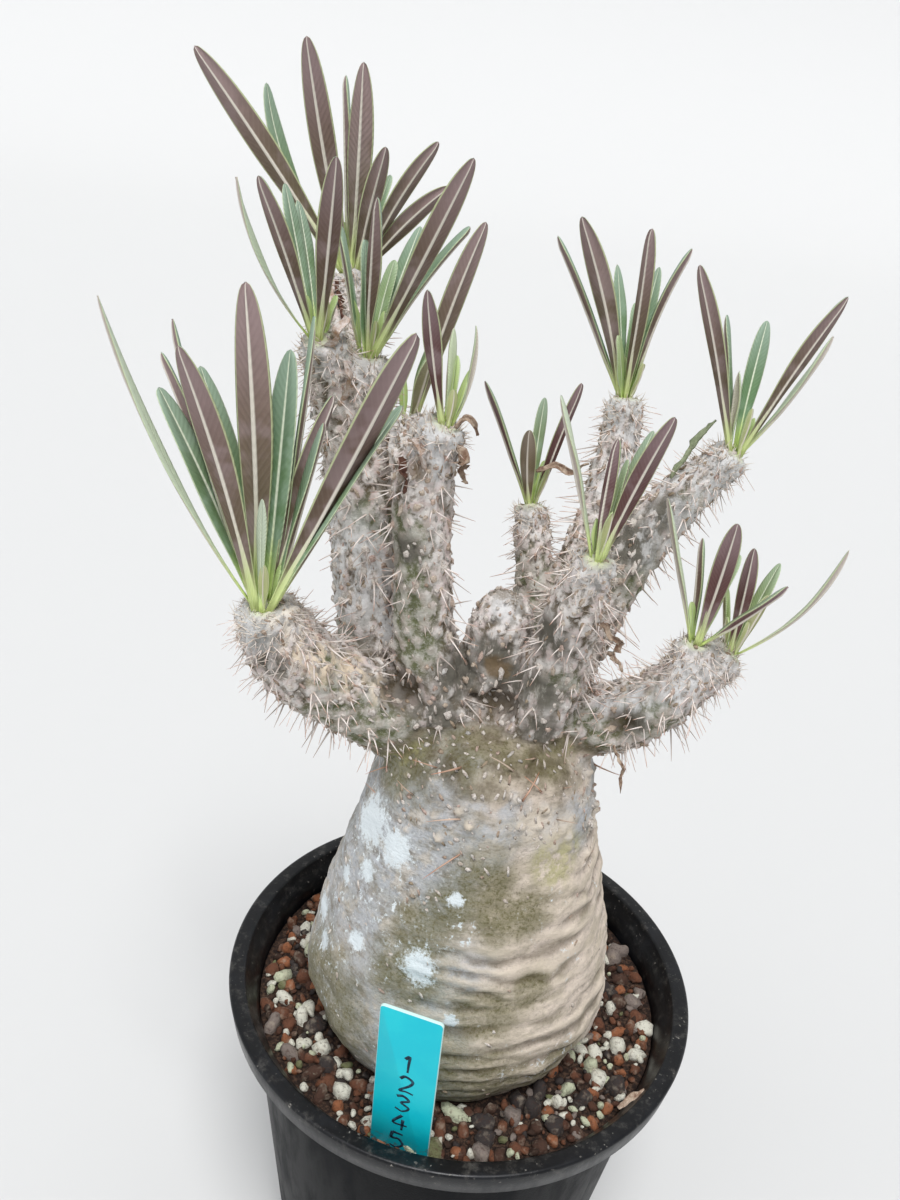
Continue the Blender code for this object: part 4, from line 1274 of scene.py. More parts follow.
# Olive moss on the body; the wide patch low on the left is partly painted shade near the soil
MOSS = Patches(0.6, (
    (0, -31, 157, 11), (-6, -32, 150, 9), (4, -32, 149, 10), (10, -30, 149, 9), (-12, -33, 142, 11),
    (-14, -34, 131, 13), (4, -38, 125, 11), (15, -34.5, 130, 8), (-6, -40, 112, 15), (4, -42, 102, 22),
    (24, -30, 100, 15), (-30, -22, 108, 24), (-20, -14, 177, 15), (-4, -18, 182, 14), (10, -16, 182, 11),
    (10, 26, 160, 24), (-28, 12, 132, 18), (28, 8, 128, 12),
))
# Brown scars of fallen arms and leaves
SCARS = Patches(0.75, (
    (-2.5, -12, 200, 5), (-27, -13.5, 242, 4), (-23, -14.5, 243.5, 4),
), 0.05)
# Stretches with many pale flecks
FLECKED = Patches(0.6, (
    (-26, -20, 152, 26), (-33, -14, 126, 20), (-12, 24, 140, 26),
))
# Green skin between the pads
GREENS = Patches(0.5, (
    (-24.5, -12, 230, 7), (-24, -13, 221, 8), (-23, -14, 212, 8), (-20, -15, 203, 8), (-38, -18, 191, 8),
    (-30, -17, 186, 11), (-23, -16, 181, 9), (-44, -14, 205, 6), (-37, -21, 199.5, 7), (28.5, -15, 194, 11),
    (20, -12, 186, 9), (26, 4, 218, 9), (35, 4, 233, 8), (-33, -4, 226, 8), (10, -17, 200, 7),
    (-4, 14, 200, 24), (-40, 4, 200, 16), (24, 14, 210, 14), (15.5, -23, 160, 9),
))
# Knobby lumps on the body
KNOBS = Patches(0.5, (
    (-6, -28, 166, 9), (23, -12, 168, 9), (25, -16, 157, 7), (-17, -20, 168, 8), (8, -24, 170, 9),
    (-16, 16, 162, 12), (14, 14, 168, 10), (-12, -30, 150, 6), (-2, -30, 160, 5), (28, -8, 160, 7),
))
# Painted shade on the arms: dusky grey patches where the arms lie in shade
ARM_SHADE_PATCHES = Patches(0.7, (
    (-50, -28, 209, 5), (-48.5, -27, 204, 5), (28, -15, 192.5, 4.5), (5.5, -18.5, 212, 9), (6, -17, 198, 8),
    (-24, -13, 226, 5), (-10.5, -11, 196.5, 10), (-15, -15, 186.5, 9), (-4, -11, 203, 7), (0, -12, 198, 7),
    (8, -17, 188, 7), (22, 4, 225, 10), (28, 4, 232.5, 8),
))
# Arms that bear no spines or wool, and the share of pads with spines on arms that bear fewer
BARE_ARMS = ("stump",)
SPINE_SHARES = {"front_right": 0.45, "top_left": 0.55, "middle_front": 0.55}
# Hollows where arms fork, pressed in and darkened with painted shade
HOLLOWS = Patches(0.7, (
    (-22.5, -13.5, 192.5, 7), (25, -13, 190, 5), (-1, -13, 191, 6),
))
# Grey bloom on the arms
BLOOMS = Patches(0.6, (
    (-41, -3, 214, 20), (16, -17, 226, 6), (-20, -13, 247, 9), (36, 6, 238, 18), (28, 2, 226, 10),
    (18, 22, 240, 17), (36, -17, 203, 8), (20, -16, 188, 5), (-54, -24, 209, 9), (-3, -8, 212, 4.5),
    (22, -10, 194, 6), (27.5, -13, 197, 6), (-25, -14.5, 191.5, 5), (-26.4, -4.7, 204, 7),
))
# Warm cream bark along the left arm
WARMS = Patches(0.6, (
    (-45, -25, 213, 8), (-42, -25, 208, 7), (-39, -22, 202, 6), (-34, -17, 197.5, 6), (-27, -14, 192, 5),
))
# Pale ridges below the arms, laid lighter as painted highlight
PALES = Patches(0.7, (
    (10, -24.5, 170, 7), (15.5, -22.5, 167, 7), (-2, -23, 178, 5),
))


@dataclass(frozen=True)
class Areole:
    """One woolly pad on an arm, with the share of such pads that bear a pair of spines."""

    place: Vector
    out: Vector
    along: Vector
    spacing: float
    down: float
    spiny: float


def outside_body(places: np.ndarray) -> np.ndarray:
    """How far each place lies outside the swollen body, or above its shoulder.

    Args:
        places: Rows of places.

    Returns:
        One distance for each place, under 0 inside the body.
    """
    radii, levels = zip(*CAUDEX_PROFILE)
    reach = np.hypot(places[:, 0] - CAUDEX_AXIS[0] * MM, places[:, 1] - CAUDEX_AXIS[1] * MM)
    body = np.interp(places[:, 2], np.array(levels) * MM, np.array(radii) * MM)
    return np.maximum(reach - body, places[:, 2] - SHOULDER)


@dataclass
class Areoles:
    """The pads of all the arms, wound round them at the golden angle and closer together near the tips."""

    near_tip: float = 1.9 * MM
    far_down: float = 3.3 * MM
    reach: float = 18 * MM
    start: float = 1.0 * MM
    snap: float = 1.6 * MM
    seed: int = 7
    items: list[Areole] = field(default_factory=list)

    def find(self, skin: Object) -> None:
        """Place the pads on the skin, arm by arm.

        Args:
            skin: The skin before its relief.
        """
        rng = random.Random(self.seed)
        kept = np.empty((0, 3))
        for name in ARMS:
            for item in self.along_arm(ArmPath.named(name), skin, rng):
                if len(kept) and np.min(np.linalg.norm(kept - item.place, axis=1)) < 0.6 * item.spacing:
                    continue
                kept = np.vstack([kept, item.place])
                self.items.append(item)

    def along_arm(self, path: ArmPath, skin: Object, rng: random.Random) -> Iterable[Areole]:
        """Wind the pads of one arm down from its tip.

        Args:
            path: The arm's path.
            skin: The skin that the pads lie on.
            rng: Source of their small differences.

        Yields:
            Each pad that lies on the skin.
        """
        left = path.length_left()
        row = len(left) - 2
        side = frame_of(path.direction(row)) @ Vector((1, 0, 0))
        down, angle = self.start, rng.uniform(0, 2 * math.pi)
        while down < left[0]:
            while left[row] < down:
                row -= 1
            low, high = path.samples[row], path.samples[row + 1]
            centre = high.lerp(low, (down - left[row + 1]) / (left[row] - left[row + 1]))
            growth = (high.xyz - low.xyz).normalized()
            side = (side - growth * side.dot(growth)).normalized()
            out = Matrix.Rotation(angle + rng.uniform(-0.2, 0.2), 3, growth) @ side
            spacing = self.near_tip + (self.far_down - self.near_tip) * float(ease(down, 0, self.reach))
            wanted = centre.xyz + out * centre.w
            found, place, normal, _ = skin.closest_point_on_mesh(wanted)
            if found and (place - wanted).length < self.snap and normal.dot(out) > 0.4:
                spiny = 0 if path.name in BARE_ARMS else SPINE_SHARES.get(path.name, 1)
                yield Areole(place, (out + normal).normalized(), growth, spacing, down, spiny)
            down += spacing ** 2 / (2 * math.pi * centre.w)
            angle += GOLDEN_ANGLE

    def bumps(self, places: np.ndarray) -> np.ndarray:
        """How high the pads rise at each place.

        Args:
            places: Rows of places.

        Returns:
            A number for each place, from 0 between the pads to 1 in their middles.
        """
        tree = nearest_of([item.place for item in self.items])
        result = np.zeros(len(places))
        for row, place in enumerate(places):
            for _, index, distance in tree.find_n(Vector(place), 3):
                item = self.items[index]
                if distance < item.spacing:
                    offset = Vector(place) - item.place
                    run = offset.dot(item.along) ** 2
                    span = (0.56 * item.spacing) ** 2
                    result[row] = max(result[row], 1 - (run / 1.8 + offset.length_squared - run) / span)
        return result

    def settle(self, skin: Object, rise: float) -> Object:
        """Bring the pads back onto the skin once it has its relief.

        Args:
            skin: The finished skin.
            rise: How far the pads stand above the skin that they were found on.

        Returns:
            An object whose vertices are the pads' places, with the attributes that a scatter reads.
        """
        places, outs, sizes, spiny = [], [], [], []
        for item in self.items:
            _, place, normal, _ = skin.closest_point_on_mesh(item.place + item.out * rise)
            places.append(place)
            outs.append((item.out + 0.4 * normal).normalized())
            sizes.append(item.spacing / self.far_down)
            spiny.append(item.spiny * (0.92 - 0.6 * float(ease(item.down, 16 * MM, 55 * MM))))
        mesh = bpy.data.meshes.new("areoles")
        mesh.from_pydata(places, [], [])
        rows = np.array(places)
        rooted = ease(outside_body(rows), 1 * MM, 11 * MM)
        store(mesh, "out", np.array(outs))
        store(mesh, "along", np.array([item.along for item in self.items]))
        store(mesh, "size", np.array(sizes) * (0.5 + 0.5 * rooted))
        store(mesh, "spiny", np.array(spiny) * (0.3 + 0.7 * rooted))
        scabby = (0.15 + 0.85 * rooted) * (1 - 0.6 * GREENS.at(rows))
        store(mesh, "scabby", scabby * (1 - 0.6 * ARM_SHADE_PATCHES.at(rows)))
        return add_object("areoles", mesh)


@dataclass
class Caudex:
    """The swollen body with its arms: one skin with folds, lumps and patches, its scabs and its spines."""

    sides: int = 96
    arm_sides: int = 28
    voxel: float = 0.8 * MM
    smoothing: int = 4
    fold_height: float = 4.7 * MM
    fold_depth: float = 1.1 * MM
    wrinkle_height: float = 1.9 * MM
    wrinkle_depth: float = 0.3 * MM
    lump_depth: float = 1.0 * MM
    pad_height: float = 0.75 * MM
    wool_reach: float = 12 * MM

    def build(self) -> list[Object]:
        """Build the caudex's pieces.

        Returns:
            The skin, the scabs, the crust, both kinds of spines and the wool of the tips.
        """
        skin = self.skin()
        areoles = Areoles()
        areoles.find(skin)
        self.shape(skin.data, areoles)
        dots = areoles.settle(skin, self.pad_height)
        pieces = [skin, *self.growth(skin, dots)]
        drop(dots)
        return pieces

    def skin(self) -> Object:
        """Join the turned body and the arms in one skin of even faces.

        Returns:
            The smooth skin, without its relief.
        """
        profile = [point * MM for point in catmull([Vector(point) for point in CAUDEX_PROFILE], 4)]
        axis = (CAUDEX_AXIS[0] * MM, CAUDEX_AXIS[1] * MM)
        meshes = [turned("body", [tuple(point) for point in profile], self.sides, axis)]
        for name in ARMS:
            path = ArmPath.named(name)
            rings = [circle(sample.xyz, path.direction(i), sample.w, self.arm_sides)
                     for i, sample in enumerate(path.samples)]
            meshes.append(clean(loft(name, rings)))
        obj = add_object("caudex_skin", joined("caudex_skin", meshes))
        remesh = obj.modifiers.new("Skin", "REMESH")
        remesh.mode = "VOXEL"
        remesh.voxel_size = self.voxel
        smooth = obj.modifiers.new("Smooth", "SMOOTH")
        smooth.factor = 0.5
        smooth.iterations = self.smoothing
        mesh = evaluated_mesh(obj)
        drop(obj)
        return add_object("caudex_skin", mesh)

    def nearest(self, places: np.ndarray) -> tuple[np.ndarray, np.ndarray]:
        """Find the direction of growth and the length left to the tip at each place.

        Args:
            places: Rows of places.

        Returns:
            One direction and one length for each place.
        """
        directions, lengths, points = [], [], []
        for name in ARMS:
            path = ArmPath.named(name)
            left = path.length_left()
            for i, sample in enumerate(path.samples):
                points.append(sample.xyz)
                directions.append(path.direction(i))
                lengths.append(left[i] + (self.wool_reach if name in BARE_ARMS else 0))
        tree = nearest_of(points)
        found = [tree.find(Vector(place))[1] for place in places]
        return np.array(directions)[found], np.array(lengths)[found]

    def shape(self, mesh: Mesh, areoles: Areoles) -> None:
        """Press folds, lumps and pads into the skin and keep what its finish reads.

        Args:
            mesh: The skin's mesh.
            areoles: The pads that lie on it.
        """
        places, outward = vectors(mesh.vertices, "co"), vectors(mesh.vertex_normals, "vector")
        along, left = self.nearest(places)
        x = places[:, 0] - CAUDEX_AXIS[0] * MM
        y = places[:, 1] - CAUDEX_AXIS[1] * MM
        z = places[:, 2]
        outside = outside_body(places)
        arm = ease(outside, 1.0 * MM, 6 * MM)
        root = 1 - ease(outside, 3 * MM, 16 * MM)
        body = 1 - arm
        coarse = noise_at(places, 12 * MM, 1, 2)
        fine = noise_at(places, 4 * MM, 2, 2)
        fold, fold_reach = self.folds(places, x, y, z)
        knob = 1 - ease(cells_at(places, 4.6 * MM), 0.08, 0.36)
        knobby = KNOBS.at(places)
        knob = knob * ease(noise_at(places, 20 * MM, 6) + knobby, -0.2, 0.3)
        knob = knob * (0.25 + ease(z, 134 * MM, 166 * MM))
        pads = np.clip(areoles.bumps(places), 0, 1)
        hollow = HOLLOWS.at(places)
        tips = [ArmPath.named(name).tip()[0] for name in LEAVES]
        from_leaves = np.min([np.linalg.norm(places - tip, axis=1) for tip in tips], axis=0)
        crown = (1 - ease(left, 1 * MM, 6 * MM)) * ease(from_leaves, 1.5 * MM, 3.5 * MM)
        rough = noise_at(places, 1.9 * MM, 7, 2)
        height = self.lump_depth * coarse * (0.45 + 0.55 * body) + 0.25 * MM * fine
        height += fold * body + 0.7 * MM * knob * (1 + knobby) * body
        height += arm * (self.pad_height * pads ** 0.8 * (1 - 0.6 * root) + 0.4 * MM * rough)
        height += 1.1 * MM * crown * noise_at(places, 2.6 * MM, 22)
        height -= 2.2 * MM * hollow
        # Painted shade: the fold valleys and the fork hollows, which the finish darkens
        valley = ease(-fold, 0.3 * self.fold_depth, 0.75 * self.fold_depth)
        crease = np.clip(valley * body * 0.65 + hollow, 0, 1)
        move(mesh, places + outward * height[:, None])
        # Painted highlight on the fold tops and the pale ridges below the arms, and on the knobs below
        tops = fold_reach * ease(fold, -0.45 * self.fold_depth, 0)
        tops = np.maximum(tops, 0.9 * PALES.at(places, 0.2 * fine))
        upper = 0.7 * ease(z + 5 * MM * coarse, 153 * MM, 167 * MM)
        upper = upper * (1 - ease(z + 5 * MM * fine + 3 * MM * coarse, 168 * MM, 181 * MM))
        # Painted shade in a band under the arms, and round the foot where it meets the soil
        gloom = 0.75 * ease(z + 3 * MM * coarse, 170 * MM, 180 * MM) * body * ease(fine, -0.5, 0.3)
        knobs = np.maximum(knobby, 0.75 * ease(z + 3 * MM * coarse, 162 * MM, 180 * MM)) + 0.03
        green, dusk = GREENS.at(places), ARM_SHADE_PATCHES.at(places)
        wool = 0.15 + 0.85 * (1 - ease(left, 2 * MM, 9 * MM))
        kept = {
            "along": along, "arm": arm, "root": root, "crease": crease, "green": green, "dusk": dusk,
            "tip": 1 - ease(left, 2 * MM, self.wool_reach),
            "foot": 1 - ease(from_leaves, 1.8 * MM, 3.4 * MM),
            "pad": pads - 0.25 * ease(left, 18 * MM, 55 * MM),
            "flecked": FLECKED.at(places),
            "ridge": np.maximum(tops, knob * (0.4 + 0.6 * knobby)) * body,
            "silver": np.maximum(ease(-x - 0.35 * y + 5 * MM * coarse, 0, 22 * MM), upper),
            "gloom": gloom + 0.7 * (1 - ease(z, 92.5 * MM, 96 * MM)),
            "lichen": LICHEN.cover(places),
            "moss": MOSS.at(places, 0.12 * fine) * (1 - 0.6 * arm),
            "grey": BLOOMS.at(places) * arm,
            "warm": WARMS.at(places) * arm,
            "scar": SCARS.at(places, 0.25 * fine),
            "stray": ease(z, 158 * MM, 176 * MM) * body,
            "crusty": arm * (1 - 0.6 * np.maximum(green, dusk)) + knobs * body,
            "woolly": wool * (left < 13 * MM) * arm}
        for name, values in kept.items():
            store(mesh, name, values)

    def folds(self, places: np.ndarray, x: np.ndarray, y: np.ndarray,
              z: np.ndarray) -> tuple[np.ndarray, np.ndarray]:
        """Work out the round-topped folds that run across the body.

        Args:
            places: Rows of places.
            x: How far each lies right of the body's axis.
            y: How far each lies behind it.
            z: Its height.

        Returns:
            The folds' depth, from 0 on their tops, and how strong they are there from 0 to 1.
        """
        squeezed = z - 0.17 * (z - 95 * MM) ** 2 / (45 * MM)
        level = squeezed + 2.8 * MM * noise_at(places, 26 * MM, 3) + 0.8 * MM * noise_at(places, 8 * MM, 4)
        other = squeezed + 0.08 * x + 3.0 * MM * noise_at(places, 24 * MM, 12)
        other = other + 0.8 * MM * noise_at(places, 7 * MM, 14)
        first = np.sqrt(np.sin(math.pi * level / self.fold_height) ** 2 + 0.04)
        second = np.sqrt(np.sin(math.pi * other / (0.72 * self.fold_height)) ** 2 + 0.05)
        share = ease(noise_at(places * (1, 1, 1.8), 17 * MM, 13), -0.1, 0.3)
        broad = first + (second - first) * share - 1
        level = level + 0.7 * MM * noise_at(places, 5 * MM, 8)
        small = np.abs(np.sin(math.pi * level / self.wrinkle_height)) - 1
        front = 0.25 + 0.75 * ease(x, -20 * MM, 2 * MM)
        side = front + (0.6 - front) * ease(y, -8 * MM, 12 * MM)
        top = 138 * MM + 20 * MM * ease(x, 10 * MM, 26 * MM)
        side = side * (1 - 0.9 * ease(z, top - 2 * MM, top + 10 * MM))
        reach = side * (0.4 + 0.6 * ease(noise_at(places, 14 * MM, 5), -0.45, 0.2))
        fading = 0.35 + 0.65 * ease(noise_at(places, 7 * MM, 9), -0.3, 0.3)
        small_reach = (0.35 + 0.65 * side) * fading * (1 - ease(z, 156 * MM, 176 * MM))
        rough = 0.5 * MM * noise_at(places * (1, 1, 0.3), 4 * MM, 21) * ease(z, 146 * MM, 168 * MM)
        return rough + self.fold_depth * broad * reach + self.wrinkle_depth * small * small_reach, reach

    def growth(self, skin: Object, dots: Object) -> list[Object]:
        """Grow scabs, crumbs, spines and wool on the skin.

        Args:
            skin: The finished skin.
            dots: The pads' places.

        Returns:
            A ragged scab on each pad, dry crumbs on the arms and the shoulder, a pair of spines on most pads,
            old spines on the shoulder and bristles round the growing tips.
        """
        pairs = []
        for index, (lean, bend, length) in enumerate((
                (24, 8, 6.6), (36, 14, 5.6), (16, -8, 7.6), (30, 22, 4.8), (44, 6, 5.2), (20, 12, 3.6))):
            first = horn_mesh("first", lean, bend, length * MM, 0.21 * MM)
            second = horn_mesh("second", -lean * 0.9, -bend, length * 0.85 * MM, 0.19 * MM)
            pairs.append(joined(f"pair_{index}", [first, second]))
        scabs = pebbles("scab", 40, 0.7, (
            (1.2, 0.75, 0.45), (1.0, 0.9, 0.5), (1.5, 0.6, 0.4), (0.8, 0.8, 0.6)))
        crumbs = pebbles("crumb", 60, 0.8, ((1.5, 0.7, 0.4), (1.0, 0.9, 0.45), (1.9, 0.5, 0.35)), fine=1)
        old = horns("old", 0.21 * MM, ((62, 10, 8.5), (70, -12, 7), (50, 16, 6)))
        bristles = horns("bristle", 0.09 * MM, ((25, -30, 2.2), (10, 20, 1.7), (35, 10, 2.8)))
        crumb_finish = ScabFinish("bark_crumb", tan=rgb(170, 154, 130), grey=rgb(186, 184, 178))
        return [
            Scatter("scabs", "scabby", (0.5 * MM, 1.05 * MM), seed=5, on_points=True, wander=0.35,
                    shapes=scabs).grow(dots, ScabFinish("woolly_scab").paint()),
            Scatter("crust", "crusty", (0.3 * MM, 0.75 * MM), seed=12, spacing=1.5 * MM, density=4.5e5,
                    wander=0.5, shapes=crumbs).grow(skin, crumb_finish.paint()),
            Scatter("spines", "spiny", (0.75, 1.3), seed=8, on_points=True, droop=0.3, rise=-0.12,
                    wander=0.3, shapes=pairs).grow(dots, SpineFinish().paint()),
            Scatter("old_spines", "stray", (0.75, 1.45), seed=4, spacing=5.4 * MM, density=4e4, droop=0.1,
                    wander=0.9, shapes=old).grow(skin, OLD_SPINE.paint()),
            Scatter("tip_wool", "woolly", (0.7, 1.2), seed=4, spacing=0.8 * MM, density=1.4e6, rise=0.5,
                    wander=0.6, shapes=bristles).grow(skin, WoolFinish().paint())]


@dataclass
class Tuft:
    """The leaves at one growing tip, each a closed blade with a raised rib and rolled margins."""

    name: str
    rows: int = 24
    thickness: float = 0.5 * MM
    rib_depth: float = 0.55 * MM
    groove_depth: float = 0.16 * MM
    roll: float = 0.5 * MM
    fold: float = 0.3
    base_share: float = 0.32
    widest: float = 0.62
    ring: float = 0.32
    sink: float = 0.4 * MM
    columns: tuple[float, ...] = (-1, -0.9, -0.72, -0.42, -0.2, -0.09, 0, 0.09, 0.2, 0.42, 0.72, 0.9, 1)

    def half_width(self, share: float, width: float) -> float:
        """Half the width of a blade.

        Args:
            share: How far along the blade, from 0 at its foot to 1 at its point.
            width: Its full width.

        Returns:
            Half the width there.
        """
        rise = float(ease(share, 0, self.widest))
        rise = self.base_share + (1 - self.base_share) * rise
        fall = max(0.0, share - self.widest) / (1 - self.widest)
        return width / 2 * rise * math.sqrt(max(0.0, 1 - fall ** 2.2)) + 0.02 * MM

    def section(self, half: float, wave: float) -> list[tuple[float, float, float]]:
        """Outline of a blade's section: the upper face from margin to margin, then the under face back.

        Args:
            half: Half the blade's width there.
            wave: How far the margins rise there, in metres.

        Returns:
            (across from -1 to 1, sideways place, height towards the upper face) of each point.
        """
        slim = min(1.0, half / (1.2 * MM))
        outline = []
        for upper in (True, False):
            columns = self.columns if upper else self.columns[-2:0:-1]
            for across in columns:
                lift = self.fold * half * abs(across) ** 1.3 + wave * across * abs(across)
                lift -= self.roll * slim * float(ease(abs(across), 0.72, 1))
                edge = 1 - 0.6 * float(ease(abs(across), 0.7, 1))
                thick = self.thickness / 2 * edge * slim
                if upper:
                    height = lift + thick - self.groove_depth * slim * math.exp(-(across / 0.12) ** 2)
                else:
                    height = lift - thick - self.rib_depth * slim * math.exp(-(across / 0.13) ** 2)
                outline.append((across, across * half, height))
        return outline

    def blade(self, base: Vector, ring: float, leaf: Sequence[float], rng: random.Random) -> Mesh:
        """One leaf as a closed mesh with its UV map and tone.

        Args:
            base: Place of the tuft.
            ring: How far from it the leaf starts.
            leaf: Its heading, lean, length, width, curl and twist.
            rng: Source of its small differences.

        Returns:
            The mesh; its under face has material index 1.
        """
        heading, lean, length, width, curl, twist = leaf
        outward = Vector((math.cos(math.radians(heading)), math.sin(math.radians(heading)), 0))
        place = base + outward * ring - Vector((0, 0, self.sink))
        dark = 0.35 if self.name in DARK_TUFTS else 0
        tone, phase = dark + 0.65 * rng.random(), rng.uniform(0, 6)
        wave_depth, sway = rng.uniform(0.05, 0.28) * MM, rng.uniform(-0.06, 0.06)
        rings, shares = [], []
        for row in range(self.rows + 1):
            share = 1 - (1 - row / self.rows) ** 1.5
            angle = math.radians(lean + curl * (share - 0.5))
            along = outward * math.sin(angle) + Vector((0, 0, math.cos(angle)))
            under = outward * math.cos(angle) - Vector((0, 0, math.sin(angle)))
            under = Matrix.Rotation(math.radians(twist), 3, along) @ under
            side = along.cross(under)
            half = self.half_width(share, width * MM)
            wave = wave_depth * math.sin(phase + 9 * share)
            outline = self.section(half, wave)
            rings.append([place + side * sideways - under * height for _, sideways, height in outline])
            shares.append(share)
            ahead = 1 - (1 - (row + 1) / self.rows) ** 1.5 if row < self.rows else share
            place = place + (along + side * sway * math.cos(3 * share)) * length * MM * (ahead - share)
        mesh = loft(self.name, rings)
        count = len(rings[0])
        upper_faces = len(self.columns) - 1
        across = [point[0] for point in outline]
        uv = mesh.uv_layers.new(name="leaf")
        for polygon in mesh.polygons:
            row, column = divmod(polygon.index, count)
            capped = row >= self.rows
            polygon.material_index = 0 if capped or column < upper_faces else 1
            for loop in polygon.loop_indices:
                vertex = mesh.loops[loop].vertex_index
                uv.data[loop].uv = ((across[vertex % count] + 1) / 2, shares[vertex // count])
        red = 0.8 if self.name in RED_TUFTS else rng.uniform(0, 0.35)
        young, thin = float(ease(-length, -25, -9)), float(width < 3 and length > 15)
        for attribute, value in (("tone", tone), ("red", red), ("young", young), ("thin", thin)):
            store(mesh, attribute, np.full(len(mesh.vertices), value))
        return mesh

    def build(self, upper: Material, under: Material) -> Object:
        """Build the tuft's leaves and the small buds in its middle.

        Args:
            upper: Material of the leaves' upper faces.
            under: Material of their under faces.

        Returns:
            The tuft.
        """
        rng = random.Random(self.name)
        tip, direction, radius = ArmPath.named(self.name).tip()
        leaves = list(LEAVES[self.name])
        for index in range(3):
            heading = math.degrees(index * GOLDEN_ANGLE) + rng.uniform(0, 60)
            leaves.append((heading, rng.uniform(4, 14), rng.uniform(7, 12), 2.2, 4, rng.uniform(-20, 20)))
        meshes = [self.blade(tip, radius * self.ring, leaf, rng) for leaf in leaves]
        mesh = joined(f"tuft_{self.name}", meshes)
        faces = bmesh.new()
        faces.from_mesh(mesh)
        bmesh.ops.recalc_face_normals(faces, faces=faces.faces)
        faces.to_mesh(mesh)
        faces.free()
        return add_object(f"tuft_{self.name}", mesh, [upper, under])


@dataclass
class DryLeaf:
    """A dead curled leaf or a papery scrap: a thin crumpled ribbon along a path."""

    name: str
    path: Sequence[tuple[float, float, float]]
    width: float
    cup: float
    twist: float
    crumple: float = 0.9 * MM
    thickness: float = 0.3 * MM
    columns: int = 7
    seed: int = 5

    def build(self, material: Material) -> Object:
        """Build the ribbon.

        Args:
            material: Its material.

        Returns:
            The ribbon.
        """
        rng = random.Random(self.name)
        noise.seed_set(self.seed)
        samples = catmull([Vector(point) * MM for point in self.path], 6)
        rings = []
        for index, place in enumerate(samples):
            share = index / (len(samples) - 1)
            ahead = samples[min(index + 1, len(samples) - 1)] - samples[max(index - 1, 0)]
            turn = frame_of(ahead.normalized()) @ Matrix.Rotation(math.radians(self.twist) * share, 3, "Z")
            half = self.width * MM / 2 * (0.25 + 0.75 * math.sin(math.pi * min(0.98, 0.12 + share * 0.86)))
            half *= 0.75 + 0.5 * noise.noise(place / (1.7 * MM))
            place = place + noise.noise_vector(place / (2.5 * MM)) * self.crumple
            upper, lower = [], []
            for column in range(self.columns):
                across = 2 * column / (self.columns - 1) - 1
                bend = self.cup * half * across * across + rng.uniform(-0.22, 0.22) * MM
                thick = self.thickness / 2 * (1 - 0.7 * abs(across))
                upper.append(place + turn @ Vector((across * half, bend + thick, 0)))
                lower.append(place + turn @ Vector((across * half, bend - thick, 0)))
            rings.append(upper + lower[::-1])
        return add_object(self.name, clean(loft(self.name, rings)), [material])


DRY_LEAVES = [
    DryLeaf("dry_curl_middle", [
        (-17.5, -14, 252.5), (-15.5, -14, 254.2), (-13.8, -14, 253.8), (-13, -14, 251.5)], 1.6, 1.2, 120),
    DryLeaf("dry_hang_middle", [
        (-17.5, -14, 249), (-16, -14.3, 247), (-15.8, -14.3, 244.6), (-14.4, -14, 243.4),
        (-14, -14, 241.8)], 2.8, 1.2, 200),
    DryLeaf("dry_curl_right", [
        (14, -20, 219), (16.5, -20, 216.5), (18.8, -20, 215), (20.6, -20, 214.4), (19.8, -20, 211.8),
        (21, -20, 209.6), (22, -20, 207.5)], 2.1, 1.2, 240),
    DryLeaf("dry_stub_back", [(1, 15, 234.5), (5, 15, 236), (9, 15, 235.6), (12, 15, 237.5)], 2, 1.0, 120),
    DryLeaf("dry_flake_scar", [
        (-23.6, -14.4, 246.5), (-22.8, -15, 244), (-22.6, -14.8, 241.5)], 2.4, 0.8, -40),
    DryLeaf("dry_curl_shoulder", [
        (24, -15, 186), (26.5, -16, 182), (27, -16, 178), (28, -16, 174)], 1.3, 0.8, 90),
    DryLeaf("wood_chip", [(40, -34, 95.5), (43, -32, 97), (46, -30, 98)], 2.4, 0.2, 0, 0.2 * MM),
]
PAPER_SCRAPS = [
    DryLeaf("dry_scrap_top", [(-42, 0, 252), (-42.5, -3, 258), (-42, -4, 264), (-40, -3, 268)], 4.6, 1.0, 30),
    DryLeaf("dry_scrap_side", [(-40, -3, 250), (-39.5, -5, 255), (-40.5, -5, 260)], 3, 1.1, -50),
    DryLeaf("paper_back", [(-47.4, 21.2, 268.4), (-46.4, 19, 264.4), (-45.2, 16.8, 260.4)], 2.6, 0.8, 10),
    DryLeaf("paper_patch", [(-25.5, -14.4, 249.5), (-23.6, -15.2, 247), (-22.4, -15.2, 244)], 4.2, 0.8, 10),
]
RUST_SCARS = [
    DryLeaf("rust_scar_middle", [
        (-27.8, -13.5, 245.5), (-26.6, -14.6, 242.5), (-25.7, -14.6, 239)], 3.4, 0.6, 20),
    DryLeaf("rust_scar_top", [
        (-46.2, 21.2, 269.2), (-44.6, 18.8, 265.8), (-43.2, 16.2, 261.2)], 2.4, 0.6, 10, 0.4 * MM),
]
DULL_LEAVES = [
    DryLeaf("dull_leaf_far", [
        (29, 9, 239), (31.3, 9.5, 244), (33.4, 10, 248.3), (35.8, 10, 252.6)], 2.6, 0.8, 20, 0.3 * MM),
]
# Each finish of the dead leaves and scraps, with its slot and its pieces
DRY_GROUPS = (
    (DryFinish(), Slot.BARK, DRY_LEAVES),
    (DryFinish("dry_paper", rgb(226, 218, 212), rgb(176, 146, 122)), Slot.BARK, PAPER_SCRAPS),
    (DryFinish("rust_scar", rgb(120, 88, 74), rgb(76, 50, 42)), Slot.BARK, RUST_SCARS),
    (DryFinish("dull_leaf", rgb(168, 176, 144), rgb(128, 138, 108)), Slot.LEAF, DULL_LEAVES),
)


